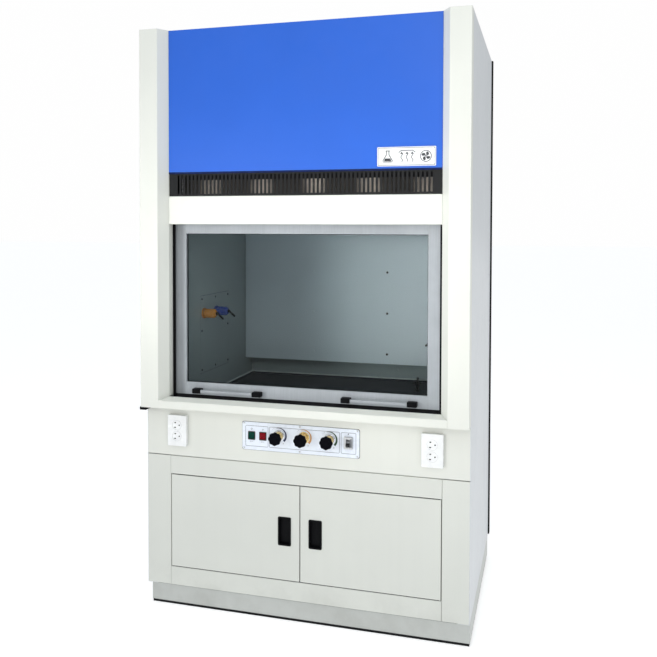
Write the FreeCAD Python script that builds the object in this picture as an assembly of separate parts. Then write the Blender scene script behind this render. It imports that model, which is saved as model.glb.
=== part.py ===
"""Laboratory fume hood: steel superstructure with a counterbalanced vertical sash,
phenolic-lined work chamber with rear baffle, service apron with remote valves,
and a two-door base cabinet on a recessed plinth.

All dimensions are in millimetres.  +Z is up, -Y is the front (the user's side),
+X is the user's right.  Shapes are drawn with y = 0 on the cabinet's front face
and moved back by Y_MID when written, so the row frame's origin is the centre of
the footprint, on the floor.
"""
import FreeCAD, Part
import math
import os
from FreeCAD import Vector as V

os.makedirs("parts", exist_ok=True)

# ------------------------------------------------------------------ dimensions
W = 1200.0            # outer width
HW = W / 2
DEPTH = 845.0         # cabinet front face to rear edge
OVERHANG = 55.0       # superstructure front proud of the cabinet front
KNOB_OUT = 54.0       # valve knobs proud of the cabinet front
KNOB_R, KNOB_T = 24.0, 11.0   # over the lobes, and thickness
H = 2145.0            # floor to roof
T = 1.5               # folded sheet steel
BEND = 3.0            # outside bend radius

Z_BASE = 88.0         # underside of the base cabinet
SEAL_H = 10.0         # black floor seal
PLINTH_IN = 30.0      # plinth set back at the front
PLINTH_REAR = 50.0    # plinth set back at the rear
Z_SEAM = 578.0        # base cabinet / service apron seam
SEAM_GAP = 1.6        # open joint above the face frame
Z_SUP = 764.0         # underside of the superstructure frame
DOOR_X = 505.0        # half width of the door opening
DOOR_Z0, DOOR_Z1 = 159.0, 508.0
DOOR_GAP = 2.5
DOOR_T = 20.0

POST_FACE = 72.0      # flat face of a front post
BEV_X, BEV_Y = 26.0, 40.0   # inner bevel of a post
X_IN = HW - POST_FACE - BEV_X   # 502: clear half width between posts
Y_FR = -OVERHANG      # front plane of the posts
Y_VAL = Y_FR + BEV_Y  # -15: plane of valance and upper panel
SILL_Z1, SILL_Z2 = 792.0, 802.0  # top of the sill's face, its inner edge
LEDGE = 788.0         # ledge the sash rests on

Z_VAL0, Z_VAL1 = 1438.0, 1540.0
Z_GR1 = 1622.0

SASH_Y0, SASH_Y1 = 20.0, 45.0
SASH_X = 497.0
GLASS_X = 450.0
SASH_Z0, SASH_Z1 = 807.0, 1450.0
GLASS_Z0, GLASS_Z1 = 852.0, 1404.0
TRAVEL = 580.0

PUL_X, PUL_Y, PUL_Z = 510.0, 32.0, 2085.0
PUL_R = 40.0          # radius at the cable's centre line
CABLE_R = 1.5
CW_Z0, CW_Z1 = 1790.0, 1990.0

LIN_X = 496.0         # inner face of the side liners
LIN_T = 5.0
CH_Y0 = 50.0          # front of the liners
Y_REAR = 810.0        # outer face of the rear panel
BAF_Y = 720.0
BAF_Z0 = 830.0
TOP_Z = 745.0         # worktop surface
CEIL_Z = 1800.0

VALVE_X = (-77.5, 15.5, 110.0)
VALVE_Z = 682.0
SW_X = (-182.0, -139.0)
SW_Z = 676.0
BRK_X = 178.0
OUT_X = 473.0
OUT_Z = 675.0

COLLAR_R = 125.0
COLLAR_Y = 430.0
COLLAR_H = 60.0

Y_MID = (DEPTH - OVERHANG) / 2   # 395


# --------------------------------------------------------------------- helpers
def box(x0, y0, z0, x1, y1, z1):
    x0, x1 = min(x0, x1), max(x0, x1)
    y0, y1 = min(y0, y1), max(y0, y1)
    z0, z1 = min(z0, z1), max(z0, z1)
    return Part.makeBox(x1 - x0, y1 - y0, z1 - z0, V(x0, y0, z0))


def cyl(r, p0, p1):
    p0, p1 = V(*p0), V(*p1)
    d = p1 - p0
    return Part.makeCylinder(r, d.Length, p0, d)


def cone(r0, r1, p0, p1):
    p0, p1 = V(*p0), V(*p1)
    d = p1 - p0
    return Part.makeCone(r0, r1, d.Length, p0, d)


def prism(pts, axis, lo, hi):
    """Polygon of 2-D points extruded along an axis: (x, y) along z, (y, z) along x, (x, z) along y."""
    if axis == "z":
        vs = [V(a, b, lo) for a, b in pts]
        d = V(0, 0, hi - lo)
    elif axis == "x":
        vs = [V(lo, a, b) for a, b in pts]
        d = V(hi - lo, 0, 0)
    else:
        vs = [V(a, lo, b) for a, b in pts]
        d = V(0, hi - lo, 0)
    vs.append(vs[0])
    return Part.Face(Part.makePolygon(vs)).extrude(d)


def uv_of(p, axis):
    return (p.x, p.y) if axis == "z" else (p.y, p.z) if axis == "x" else (p.x, p.z)


def fillet_at(shape, axis, spots, tol=0.05):
    """Rounds the edges that run along axis through the given 2-D spots: [((u, v), r), ...]."""
    for (u, v), r in spots:
        edges = []
        for e in shape.Edges:
            a, b = e.Vertexes[0].Point, e.Vertexes[-1].Point
            ua, ub = uv_of(a, axis), uv_of(b, axis)
            if math.hypot(ua[0] - u, ua[1] - v) < tol and math.hypot(ub[0] - u, ub[1] - v) < tol and (a - b).Length > 1:
                edges.append(e)
        if edges:
            try:
                s = shape.makeFillet(r, edges)
                if s.isValid() and s.Volume > 0:
                    shape = s
            except Exception as err:
                print("fillet skipped", (u, v), err)
    return shape


def sheet(pts, t, axis, lo, hi, bend=BEND):
    """A folded sheet: the open line pts is the outer face, and the sheet's thickness lies to its left."""
    n = len(pts)
    seg = []
    for i in range(n - 1):
        dx, dy = pts[i + 1][0] - pts[i][0], pts[i + 1][1] - pts[i][1]
        m = math.hypot(dx, dy)
        seg.append((dx / m, dy / m))
    inner = []
    for i in range(n):
        if i == 0:
            nx, ny = -seg[0][1], seg[0][0]
            inner.append((pts[0][0] + nx * t, pts[0][1] + ny * t))
        elif i == n - 1:
            nx, ny = -seg[-1][1], seg[-1][0]
            inner.append((pts[-1][0] + nx * t, pts[-1][1] + ny * t))
        else:
            n1 = (-seg[i - 1][1], seg[i - 1][0])
            n2 = (-seg[i][1], seg[i][0])
            k = t / (1 + n1[0] * n2[0] + n1[1] * n2[1])
            inner.append((pts[i][0] + (n1[0] + n2[0]) * k, pts[i][1] + (n1[1] + n2[1]) * k))
    s = prism(list(pts) + inner[::-1], axis, lo, hi)
    spots = []
    for i in range(1, n - 1):
        cross = seg[i - 1][0] * seg[i][1] - seg[i - 1][1] * seg[i][0]
        # turning left puts the sheet on the inside of the bend
        if cross > 0:
            spots += [(pts[i], bend), (inner[i], max(bend - t, 0.5))]
        else:
            spots += [(inner[i], bend), (pts[i], max(bend - t, 0.5))]
    return fillet_at(s, axis, spots)


def pipe(pts, r, bend):
    """A tube's solid envelope along straight runs joined by tangent arcs of one radius."""
    p = [V(*q) for q in pts]
    edges, start = [], p[0]
    for i in range(1, len(p) - 1):
        a, b = (p[i - 1] - p[i]).normalize(), (p[i + 1] - p[i]).normalize()
        ang = a.getAngle(b)
        cut = bend / math.tan(ang / 2)
        s, e = p[i] + a * cut, p[i] + b * cut
        mid_dir = (a + b).normalize()
        centre = p[i] + mid_dir * (bend / math.sin(ang / 2))
        mid = centre - mid_dir * bend
        edges.append(Part.LineSegment(start, s).toShape())
        edges.append(Part.Arc(s, mid, e).toShape())
        start = e
    edges.append(Part.LineSegment(start, p[-1]).toShape())
    wire = Part.Wire(edges)
    prof = Part.Wire([Part.Circle(p[0], p[1] - p[0], r).toShape()])
    solid = wire.makePipeShell([prof], True, True)
    solid = Part.Solid(solid) if solid.ShapeType == "Shell" else solid
    return solid


def mirror_x(s):
    return s.mirror(V(0, 0, 0), V(1, 0, 0))


def front_fillet(shape, r, y, tol=0.01):
    """Rounds all edges that lie in the plane y."""
    edges = [e for e in shape.Edges if all(abs(v.Point.y - y) < tol for v in e.Vertexes)
             and abs(e.BoundBox.YMax - y) < tol and abs(e.BoundBox.YMin - y) < tol]
    try:
        s = shape.makeFillet(r, edges)
        if s.isValid() and s.Volume > 0:
            return s
    except Exception as err:
        print("front fillet skipped", y, err)
    return shape


TOTAL = {}


def out(name, shapes):
    shapes = shapes if isinstance(shapes, list) else [shapes]
    solids = []
    for s in shapes:
        assert s.isValid(), name
        solids += s.Solids
    for s in solids:
        assert s.Volume > 0, (name, s.Volume)
    c = Part.makeCompound(solids) if len(solids) > 1 else solids[0].copy()
    c.translate(V(0, -Y_MID, 0))
    c.exportStep("parts/%s.step" % name)
    TOTAL[name] = c
    return c


# ---------------------------------------------------------------- base cabinet
# Plinth, floor seal and feet.
PX = HW
py0, py1 = PLINTH_IN, DEPTH - PLINTH_REAR
plinth = [
    sheet([(-PX, py0 + 40), (-PX, py0), (PX, py0), (PX, py0 + 40)], T, "z", SEAL_H, Z_BASE),
    box(-PX, py0 + 40.3, SEAL_H, -PX + T, py1, Z_BASE),
    box(PX - T, py0 + 40.3, SEAL_H, PX, py1, Z_BASE),
    box(-PX + T, py1 - T, SEAL_H, PX - T, py1, Z_BASE),
]
out("plinth", plinth)

EDGE_OUT = 6.0        # rear seal strips stand this far proud of the sides
seals = [
    box(-PX + 3, py0 + 2, 0, PX - 3, py0 + 12, SEAL_H),
    box(-PX + 3, py1 - 12, 0, PX - 3, py1 - 2, SEAL_H),
    box(-PX + 3, py0 + 12, 0, -PX + 13, py1 - 12, SEAL_H),
    box(PX - 13, py0 + 12, 0, PX - 3, py1 - 12, SEAL_H),
]
for s in (-1, 1):
    strip = box(s * (HW - 6), DEPTH - 22, Z_BASE, s * (HW + EDGE_OUT), DEPTH, H)
    slot = box(s * (HW - T - 0.01), DEPTH - 22.01, Z_BASE - 1, s * (HW + 0.01), DEPTH - 10, H + 1)
    strip = strip.cut(slot)
    seals.append(strip)
out("floor_and_wall_seals", seals)

feet = []
for x in (-540.0, 0.0, 540.0):
    for y in (95.0, 735.0):
        f = cyl(26, (x, y, 0), (x, y, 8)).fuse(cone(26, 12, (x, y, 8), (x, y, 18)))
        f = f.fuse(cyl(6, (x, y, 18), (x, y, Z_BASE)))
        nut = prism([(x + 11 * math.cos(math.radians(60 * k)), y + 11 * math.sin(math.radians(60 * k))) for k in range(6)], "z", 70, 80)
        f = f.fuse(nut).removeSplitter()
        feet.append(f)
out("levelling_feet", feet)

# Carcass: floor, sides and back.
XS = HW - T
floor = box(-XS, T, Z_BASE, XS, Y_REAR - T, Z_BASE + 2)
carcass = [
    floor,
    box(-HW, 0, Z_BASE, -XS, DEPTH - 10, Z_SEAM - 0.6),
    box(XS, 0, Z_BASE, HW, DEPTH - 10, Z_SEAM - 0.6),
    box(-XS, Y_REAR - T, Z_BASE, XS, Y_REAR, Z_SEAM - 0.6),
]
out("cabinet_carcass", carcass)

# Face frame: two stiles and two rails, with returns that stiffen them.
HP_X = DOOR_X - 7.5   # 497.5: hinge axis
HP_Y = 5.0
PIN_R = 3.0
stile = sheet([(DOOR_X, 38), (DOOR_X, 0), (XS, 0)], T, "z", Z_BASE + 2, Z_SEAM - SEAM_GAP)
rail_t = sheet([(38, DOOR_Z1), (0, DOOR_Z1), (0, Z_SEAM - SEAM_GAP), (30, Z_SEAM - SEAM_GAP)][::-1], T, "x", -DOOR_X + 0.4, DOOR_X - 0.4)
rail_b = sheet([(38, DOOR_Z0), (0, DOOR_Z0), (0, Z_BASE + 2)], T, "x", -DOOR_X + 0.4, DOOR_X - 0.4)
for s in (-1, 1):
    rail_t = rail_t.cut(cyl(PIN_R, (s * HP_X, HP_Y, DOOR_Z1 - 4), (s * HP_X, HP_Y, DOOR_Z1 + 6)))
    rail_b = rail_b.cut(cyl(PIN_R, (s * HP_X, HP_Y, DOOR_Z0 - 6), (s * HP_X, HP_Y, DOOR_Z0 + 4)))
out("cabinet_face_frame", [stile, mirror_x(stile), rail_t, rail_b])

# Shelf on four clips.
shelf = sheet([(150, 322), (150, 345), (785, 345), (785, 330)][::-1], T, "x", -XS + 3, XS - 3)
clips = [box(s * (XS - 16), y, 336, s * XS, y + 14, 343.5 - 0.0) for s in (-1, 1) for y in (190.0, 720.0)]
out("cabinet_shelf", [shelf] + clips)

# Hinge pins, one in each corner of the door opening.
pins = []
for s in (-1, 1):
    a = cyl(PIN_R, (s * HP_X, HP_Y, DOOR_Z1 - 14), (s * HP_X, HP_Y, DOOR_Z1 + T + 0.2)).fuse(
        cyl(4.2, (s * HP_X, HP_Y + 0.0, DOOR_Z1 + T + 0.1), (s * HP_X, HP_Y, DOOR_Z1 + T + 3)))
    b = cyl(PIN_R, (s * HP_X, HP_Y, DOOR_Z0 - T - 0.2), (s * HP_X, HP_Y, DOOR_Z0 + 14)).fuse(
        cyl(4.2, (s * HP_X, HP_Y, DOOR_Z0 - T - 3), (s * HP_X, HP_Y, DOOR_Z0 - T - 0.1)))
    pins += [a.cut(box(s * HP_X - 6, -3, DOOR_Z1, s * HP_X + 6, T + 1.7, DOOR_Z1 + 8)),
             b.cut(box(s * HP_X - 6, -3, DOOR_Z0 - 8, s * HP_X + 6, T + 1.7, DOOR_Z0))]
for s in (-1, 1):
    catch = box(s * 15, DOOR_T + 0.5, DOOR_Z1 - 13, s * 47, DOOR_T + 15, DOOR_Z1)
    pins.append(catch)
out("hinge_pins_and_catches", pins)


# Doors: folded outer pan with pivot blocks, flat inner panel, and a flush pull.
PULL_X0, PULL_X1 = 33.0, 82.0
PULL_Z0, PULL_Z1 = 286.0, 390.0
DT = 1.2
PULL_D = 14.0


def door(sign):
    """sign -1 is the left door; drawn for the right door and mirrored."""
    x0, x1 = 1.5, DOOR_X - DOOR_GAP
    z0, z1 = DOOR_Z0 + DOOR_GAP, DOOR_Z1 - DOOR_GAP
    pan = box(x0, 0, z0, x1, DOOR_T - 1.0, z1)
    pan = fillet_at(pan, "z", [((x0, 0), 2.0), ((x1, 0), 2.0)])
    pan = pan.cut(box(x0 + DT, DT, z0 + DT, x1 - DT, DOOR_T + 1, z1 - DT))
    block = 11.0
    for za, zb in ((z0 + DT / 2, z0 + 12), (z1 - 12, z1 - DT / 2)):
        pan = pan.fuse(box(x1 - block, DT / 2, za, x1 - DT / 2, DT + block, zb))
    pan = pan.removeSplitter()
    pan = pan.cut(box(PULL_X0 + 2, -2, PULL_Z0 + 2, PULL_X1 - 2, DT + 1, PULL_Z1 - 2))
    for za, zb in ((z0 - 1, z0 + 13), (z1 - 13, z1 + 1)):
        pan = pan.cut(cyl(PIN_R + 0.06, (HP_X, HP_Y, za), (HP_X, HP_Y, zb)))
    inner = box(x0 + 0.6, DOOR_T - 1.0, z0 + 0.6, x1 - 0.6, DOOR_T, z1 - 0.6)
    cup = box(PULL_X0, -1.5, PULL_Z0, PULL_X1, 0, PULL_Z1)
    cup = fillet_at(cup, "y", [((x, z), 5.0) for x in (PULL_X0, PULL_X1) for z in (PULL_Z0, PULL_Z1)])
    body = box(PULL_X0 + 2.3, 0, PULL_Z0 + 2.3, PULL_X1 - 2.3, PULL_D, PULL_Z1 - 2.3)
    cup = cup.fuse(body)
    hollow = box(PULL_X0 + 5, -2, PULL_Z0 + 5, PULL_X1 - 5, PULL_D - 1.6, PULL_Z1 - 5)
    hollow = fillet_at(hollow, "y", [((x, z), 4.0) for x in (PULL_X0 + 5, PULL_X1 - 5) for z in (PULL_Z0 + 5, PULL_Z1 - 5)])
    cup = cup.cut(hollow).removeSplitter()
    shapes = [pan, inner, cup]
    if sign < 0:
        shapes = [mirror_x(s) for s in shapes]
    return shapes


for sign, side in ((-1, "left"), (1, "right")):
    pan, inner, cup = door(sign)
    out(side + "_door", [pan, inner])
    out(side + "_door_pull", cup)

# --------------------------------------------------------------- service apron
apron = sheet([(25, Z_SEAM), (0, Z_SEAM), (0, Z_SUP), (25, Z_SUP)][::-1], T, "x", -XS, XS)
apron = apron.cut(box(-208, -5, 636, 208, 10, 716))
for s in (-1, 1):
    apron = apron.cut(box(s * OUT_X - 28, -5, OUT_Z - 46, s * OUT_X + 28, 10, OUT_Z + 46))
out("apron_panel", apron)

CP_X, CP_Z0, CP_Z1, CP_T = 218.0, 624.0, 725.0, 2.0
plate = box(-CP_X, -CP_T, CP_Z0, CP_X, 0, CP_Z1)
plate = fillet_at(plate, "y", [((x, z), 8.0) for x in (-CP_X, CP_X) for z in (CP_Z0, CP_Z1)])
for x in VALVE_X:
    plate = plate.cut(cyl(11.0, (x, -5, VALVE_Z), (x, 5, VALVE_Z)))
for x in SW_X:
    plate = plate.cut(box(x - 12.6, -5, SW_Z - 14.1, x + 12.6, 5, SW_Z + 14.1))
plate = plate.cut(box(BRK_X - 15, -5, SW_Z - 21, BRK_X + 15, 5, SW_Z + 21))
out("control_plate", plate)


# Socket outlets: a raised double outlet with round faces and pin holes.
def outlet(cx):
    w, h, d = 75.0, 115.0, 15.0
    b = box(cx - w / 2, -d, OUT_Z - h / 2, cx + w / 2, 0, OUT_Z + h / 2)
    b = fillet_at(b, "y", [((x, z), 4.0) for x in (cx - w / 2, cx + w / 2) for z in (OUT_Z - h / 2, OUT_Z + h / 2)])
    b = front_fillet(b, 2.0, -d)
    b = b.fuse(box(cx - 26, 0, OUT_Z - 44, cx + 26, 34, OUT_Z + 44))
    for cz in (OUT_Z - 20.5, OUT_Z + 20.5):
        b = b.cut(cyl(18.5, (cx, -d - 1, cz), (cx, -d + 1.2, cz)).cut(cyl(17.3, (cx, -d - 2, cz), (cx, -d + 2, cz))))
        b = b.cut(box(cx - 9.5, -d - 1, cz + 7.0, cx - 3.5, -d + 12, cz + 11.0))
        b = b.cut(box(cx - 10.5, -d - 1, cz - 11.0, cx - 4.0, -d + 12, cz - 7.0))
        b = b.cut(cyl(2.6, (cx + 9.5, -d - 1, cz), (cx + 9.5, -d + 12, cz)))
    return b.removeSplitter()


out("socket_outlets", [outlet(-OUT_X), outlet(OUT_X)])

# Valve escutcheons, bodies and knobs.
esc, bodies = [], []
for x in VALVE_X:
    ring = cyl(21, (x, -CP_T, VALVE_Z), (x, -CP_T - 4, VALVE_Z)).cut(cyl(11.0, (x, 0, VALVE_Z), (x, -12, VALVE_Z)))
    ring = front_fillet(ring, 1.5, -CP_T - 4)
    esc.append(ring)
    hexa = prism([(x + 16.0 * math.cos(math.radians(60 * k + 30)), VALVE_Z + 16.0 * math.sin(math.radians(60 * k + 30))) for k in range(6)], "y", -19, -6.02)
    b = hexa.fuse(cyl(10.8, (x, -6.02, VALVE_Z), (x, 2, VALVE_Z)))
    b = b.fuse(cyl(10.5, (x, -19, VALVE_Z), (x, -38, VALVE_Z)))
    b = b.fuse(cyl(13.0, (x, -25, VALVE_Z), (x, -32, VALVE_Z)))
    b = b.fuse(cyl(15.0, (x, 2, VALVE_Z), (x, 42, VALVE_Z)))
    b = b.fuse(cyl(8.5, (x, 42, VALVE_Z), (x, 56, VALVE_Z)))
    b = b.fuse(cyl(8.5, (x, 22, VALVE_Z), (x, 22, VALVE_Z - 28)))
    b = b.cut(cyl(4.05, (x, -50, VALVE_Z), (x, 12, VALVE_Z)))
    bodies.append(b.removeSplitter())
out("valve_bodies", bodies + esc)


def knob(x):
    y0, y1 = -KNOB_OUT + KNOB_T, -KNOB_OUT
    k = cyl(KNOB_R, (x, y0, VALVE_Z), (x, y1, VALVE_Z))
    for i in range(8):
        a = math.radians(45 * i + 22.5)
        cx, cz = x + (KNOB_R + 5.2) * math.cos(a), VALVE_Z + (KNOB_R + 5.2) * math.sin(a)
        k = k.cut(cyl(7.5, (cx, y0 + 1, cz), (cx, y1 - 1, cz)))
    k = front_fillet(k, 1.6, y1)
    k = k.fuse(cyl(10.0, (x, y0, VALVE_Z), (x, y0 + 4.0, VALVE_Z)))
    k = k.cut(cyl(12.0, (x, y1 - 1, VALVE_Z), (x, y1 + 1.2, VALVE_Z)))
    spindle = cyl(4.0, (x, y0 + 4.0, VALVE_Z), (x, 11.5, VALVE_Z))
    return [k.removeSplitter(), spindle]


for x, n in zip(VALVE_X, ("air", "gas", "water")):
    out(n + "_knob", knob(x))


# Rocker switches: a shallow V rocker on a cross pivot, stored in the off position.
RK_Y, RK_TILT = 3.5, 6.0


def rocker(x):
    zc = SW_Z
    pts = [(-6.5, zc - 11.3), (-4.6, zc), (-6.5, zc + 11.3), (6.0, zc + 8.5), (6.0, zc - 8.5)]
    r = prism(pts, "x", x - 10.8, x + 10.8)
    r = r.fuse(cyl(1.6, (x - 11.9, RK_Y, zc), (x + 11.9, RK_Y, zc)))
    r.rotate(V(x, RK_Y, zc), V(1, 0, 0), -RK_TILT)
    return r.removeSplitter()


out("light_rocker", rocker(SW_X[0]))
out("blower_rocker", rocker(SW_X[1]))

# Switch housings, and the breaker: moulded bodies behind the plate; the breaker has a toggle.
cases = []
for x in SW_X:
    c = box(x - 12.4, -CP_T, SW_Z - 13.9, x + 12.4, 22, SW_Z + 13.9)
    rimb = box(x - 13.5, -CP_T - 2, SW_Z - 15, x + 13.5, -CP_T, SW_Z + 15)
    rimb = fillet_at(rimb, "y", [((x + i * 13.5, SW_Z + j * 15), 2.0) for i in (-1, 1) for j in (-1, 1)])
    c = c.fuse(rimb)
    c = c.cut(box(x - 11.1, -9, SW_Z - 12.8, x + 11.1, 19, SW_Z + 12.8))
    c = c.cut(cyl(1.65, (x - 13, RK_Y, SW_Z), (x + 13, RK_Y, SW_Z)))
    cases.append(c.removeSplitter())
brk = box(BRK_X - 14.5, -9, SW_Z - 20.5, BRK_X + 14.5, 58, SW_Z + 20.5)
brk = brk.cut(box(BRK_X - 7.5, -12, SW_Z - 15, BRK_X + 7.5, 9, SW_Z + 13.5))
brk = brk.cut(cyl(2.05, (BRK_X - 11, 0, SW_Z), (BRK_X + 11, 0, SW_Z)))
cases.append(brk.removeSplitter())
out("switch_bodies", cases)
lev = cyl(6.2, (BRK_X - 6.8, 0, SW_Z), (BRK_X + 6.8, 0, SW_Z))
arm = prism([(1.0, SW_Z - 5.0), (-17.0, SW_Z - 9.5), (-18.0, SW_Z - 4.0), (0.0, SW_Z + 5.0)], "x", BRK_X - 6.2, BRK_X + 6.2)
lev = lev.fuse(arm).fuse(cyl(2.0, (BRK_X - 10.5, 0, SW_Z), (BRK_X + 10.5, 0, SW_Z))).removeSplitter()
out("breaker_lever", lev)

# --------------------------------------------------------------- front frame
# Posts: folded posts with a bevelled inner face that runs back to the sash guide.
FX = HW - POST_FACE   # 528


def right_post():
    path = [(X_IN, 14.0), (X_IN, Y_VAL), (FX, Y_FR), (HW, Y_FR), (HW, -0.3)]
    p = sheet(path, T, "z", Z_SUP, H)
    # mitre against the sill
    wedge = prism([(Y_FR - 5, Z_SUP - 1), (Y_FR - 5, SILL_Z1 - 5 * (SILL_Z2 - SILL_Z1) / BEV_Y), (Y_VAL, SILL_Z2), (20, SILL_Z2 + 0.0), (20, Z_SUP - 1)], "x", X_IN - 4, FX)
    p = p.cut(wedge)
    # the pulley passes through the return near the roof
    p = p.cut(box(X_IN - 5, -12, 2032, X_IN + 6, 30, H + 1))
    return p.removeSplitter()


post = right_post()
out("right_post", post)
out("left_post", mirror_x(post))

# Sill: airfoil sill below the sash, with the ledge that the sash rests on.
sill = sheet([(Y_FR + 22, Z_SUP), (Y_FR, Z_SUP), (Y_FR, SILL_Z1), (Y_VAL, SILL_Z2), (Y_VAL + 1.6, LEDGE), (48.5, LEDGE), (48.5, TOP_Z + 8)][::-1], T, "x", -FX, FX, bend=2.0)
for s in (-1, 1):
    # mitre against the posts' bevels, and clear of the posts behind them
    cut = prism([(s * FX, Y_FR - 0.01), (s * X_IN, Y_VAL), (s * X_IN, 60), (s * (FX + 2), 60), (s * (FX + 2), Y_FR - 0.01)], "z", Z_SUP - 5, SILL_Z2 + 20)
    sill = sill.cut(cut)
sill = sill.removeSplitter()
out("front_sill", sill)

XP = X_IN - 0.5       # half width of the panels between the posts
val = sheet([(6, Z_VAL0), (Y_VAL, Z_VAL0), (Y_VAL, Z_VAL1), (-2, Z_VAL1)][::-1], T, "x", -XP, XP, bend=2.2)
out("header_valance", val)

# Grille: black sheet with a row of upright slots.
SLOTS, PITCH, SLOT_W = 63, 15.0, 7.0
gy = Y_VAL + 4.0
gr = box(-XP, gy, Z_VAL1 + 0.3, XP, gy + T, Z_GR1 - 0.3)
cuts = []
for i in range(SLOTS):
    x = (i - (SLOTS - 1) / 2) * PITCH
    cuts.append(box(x - SLOT_W / 2, gy - 1, 1549, x + SLOT_W / 2, gy + T + 1, 1616))
gr = gr.cut(Part.makeCompound(cuts))
out("bypass_grille", gr)

blue = sheet([(2, Z_GR1), (Y_VAL, Z_GR1), (Y_VAL, H), (-2, H)][::-1], T, "x", -XP, XP, bend=2.2)
out("upper_front_panel", blue)

lab = box(280, Y_VAL - 2.0, 1635, 480, Y_VAL, 1700)
lab = fillet_at(lab, "y", [((x, z), 3.0) for x in (280, 480) for z in (1635, 1700)])
out("label_plate", lab)

# ----------------------------------------------------------- outer enclosure
out("side_panels", [
    box(-HW, 0, Z_SEAM, -XS, DEPTH - 10, H),
    box(XS, 0, Z_SEAM, HW, DEPTH - 10, H),
])

PIPE_R = 6.0
INLET_Z = VALVE_Z
rear = box(-XS, Y_REAR - T, Z_SEAM, XS, Y_REAR, H - T)
for x in VALVE_X:
    rear = rear.cut(cyl(8.0, (x, Y_REAR - 5, INLET_Z), (x, Y_REAR + 5, INLET_Z)))
rear = rear.cut(cyl(10.0, (420.0, Y_REAR - 5, INLET_Z), (420.0, Y_REAR + 5, INLET_Z)))
out("rear_panel", rear)

roof = prism([(-X_IN + 0.5, -1.5), (X_IN - 0.5, -1.5), (X_IN - 0.5, 15), (XS, 15), (XS, Y_REAR), (-XS, Y_REAR), (-XS, 15), (-X_IN + 0.5, 15)], "z", H - T, H)
roof = roof.cut(cyl(COLLAR_R - T, (0, COLLAR_Y, H - 5), (0, COLLAR_Y, H + 5)))
cap = prism([(X_IN + 4, 14.5), (X_IN + T + 4, Y_VAL - 1), (FX + 3, Y_FR + 3.2), (XS - 0.4, Y_FR + 3.2), (XS - 0.4, 14.5)], "z", H - T, H)
out("roof_panel", [roof, cap, mirror_x(cap)])

collar = cyl(COLLAR_R, (0, COLLAR_Y, H), (0, COLLAR_Y, H + COLLAR_H)).fuse(cyl(COLLAR_R + 20, (0, COLLAR_Y, H), (0, COLLAR_Y, H + 2)))
collar = collar.cut(cyl(COLLAR_R - T, (0, COLLAR_Y, H - 1), (0, COLLAR_Y, H + COLLAR_H + 1))).removeSplitter()
out("exhaust_collar", collar)

# ---------------------------------------------------------------- work chamber
SINK_X, SINK_Y, SINK_A, SINK_B = 400.0, 485.0, 75.0, 55.0


def oval(a, b, z, cx=SINK_X, cy=SINK_Y):
    e = Part.Ellipse(V(cx, cy, z), a, b).toShape()
    return Part.Wire([e])


def oval_prism(a, b, z0, z1):
    return Part.Face(oval(a, b, z0)).extrude(V(0, 0, z1 - z0))


WX, WY0, WY1 = LIN_X - 0.5, CH_Y0 + 0.5, Y_REAR - T - 0.5
top = box(-WX, WY0, TOP_Z - 20, WX, WY1, TOP_Z + 6)
top = top.cut(box(-WX + 10, WY0 + 10, TOP_Z, WX - 10, WY1 - 10, TOP_Z + 10))
top = top.cut(oval_prism(SINK_A + 0.5, SINK_B + 0.5, TOP_Z - 30, TOP_Z + 10))
out("worktop", top)

rim = oval_prism(SINK_A + 9, SINK_B + 9, TOP_Z + 0.05, TOP_Z + 4)
bowl = oval_prism(SINK_A, SINK_B, TOP_Z - 95, TOP_Z + 0.05)
hol = oval_prism(SINK_A - 3, SINK_B - 3, TOP_Z - 92, TOP_Z + 10)
sink = rim.fuse(bowl).fuse(cyl(20, (SINK_X, SINK_Y, TOP_Z - 140), (SINK_X, SINK_Y, TOP_Z - 94))).cut(hol)
sink = sink.cut(cyl(16, (SINK_X, SINK_Y, TOP_Z - 150), (SINK_X, SINK_Y, TOP_Z - 80))).removeSplitter()
out("cup_sink", sink)

AP_Y0, AP_Y1, AP_Z0, AP_Z1 = 240.0, 530.0, 838.0, 1152.0
OUTLETS = {"gas": (-1, 272.0, 1080.0), "air": (-1, 392.0, 1078.0), "water": (1, 330.0, 1010.0)}
OUT_L = 47.0   # length of an outlet body, before its tapered end


def liner(sign):
    l = box(LIN_X, CH_Y0, TOP_Z - 25, LIN_X + LIN_T, Y_REAR - T, H - T)
    l = l.cut(box(LIN_X - 1, AP_Y0, AP_Z0, LIN_X + LIN_T + 1, AP_Y1, AP_Z1))
    ap = box(LIN_X, AP_Y0 + 1.2, AP_Z0 + 1.2, LIN_X + LIN_T, AP_Y1 - 1.2, AP_Z1 - 1.2)
    shapes = [l, ap] if sign > 0 else [mirror_x(l), mirror_x(ap)]
    res = []
    for s in shapes:
        for sg, y, z in OUTLETS.values():
            if sg == sign:
                s = s.cut(cyl(9.0, (sign * (LIN_X - 5), y, z), (sign * (LIN_X + LIN_T + 5), y, z)))
        res.append(s)
    return res


out("left_liner", liner(-1))
out("right_liner", liner(1))

baf = [box(-LIN_X + 2, BAF_Y, BAF_Z0, LIN_X - 2, BAF_Y + 5, 1560)]
slant = prism([(BAF_Y, 1572), (BAF_Y + 5, 1574), (605, 1764), (600, 1762)], "x", -LIN_X + 2, LIN_X - 2)
baf.append(slant)
BSX, BSZ = 168.0, (873.0, 1052.0, 1232.0)
for x in (-BSX, BSX):
    for z in BSZ:
        baf.append(cyl(8, (x, BAF_Y + 5, z), (x, Y_REAR - T, z)))
for x in (-430.0, 430.0):
    baf.append(box(x - 15, BAF_Y + 5, 1500, x + 15, Y_REAR - T, 1520))
    baf.append(box(x - 15, 640, 1735, x + 15, Y_REAR - T, 1741).cut(prism([(500, 1800), (607, 1764), (700, 1618), (500, 1618)], "x", x - 20, x + 20)))
out("rear_baffle", baf)

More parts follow.
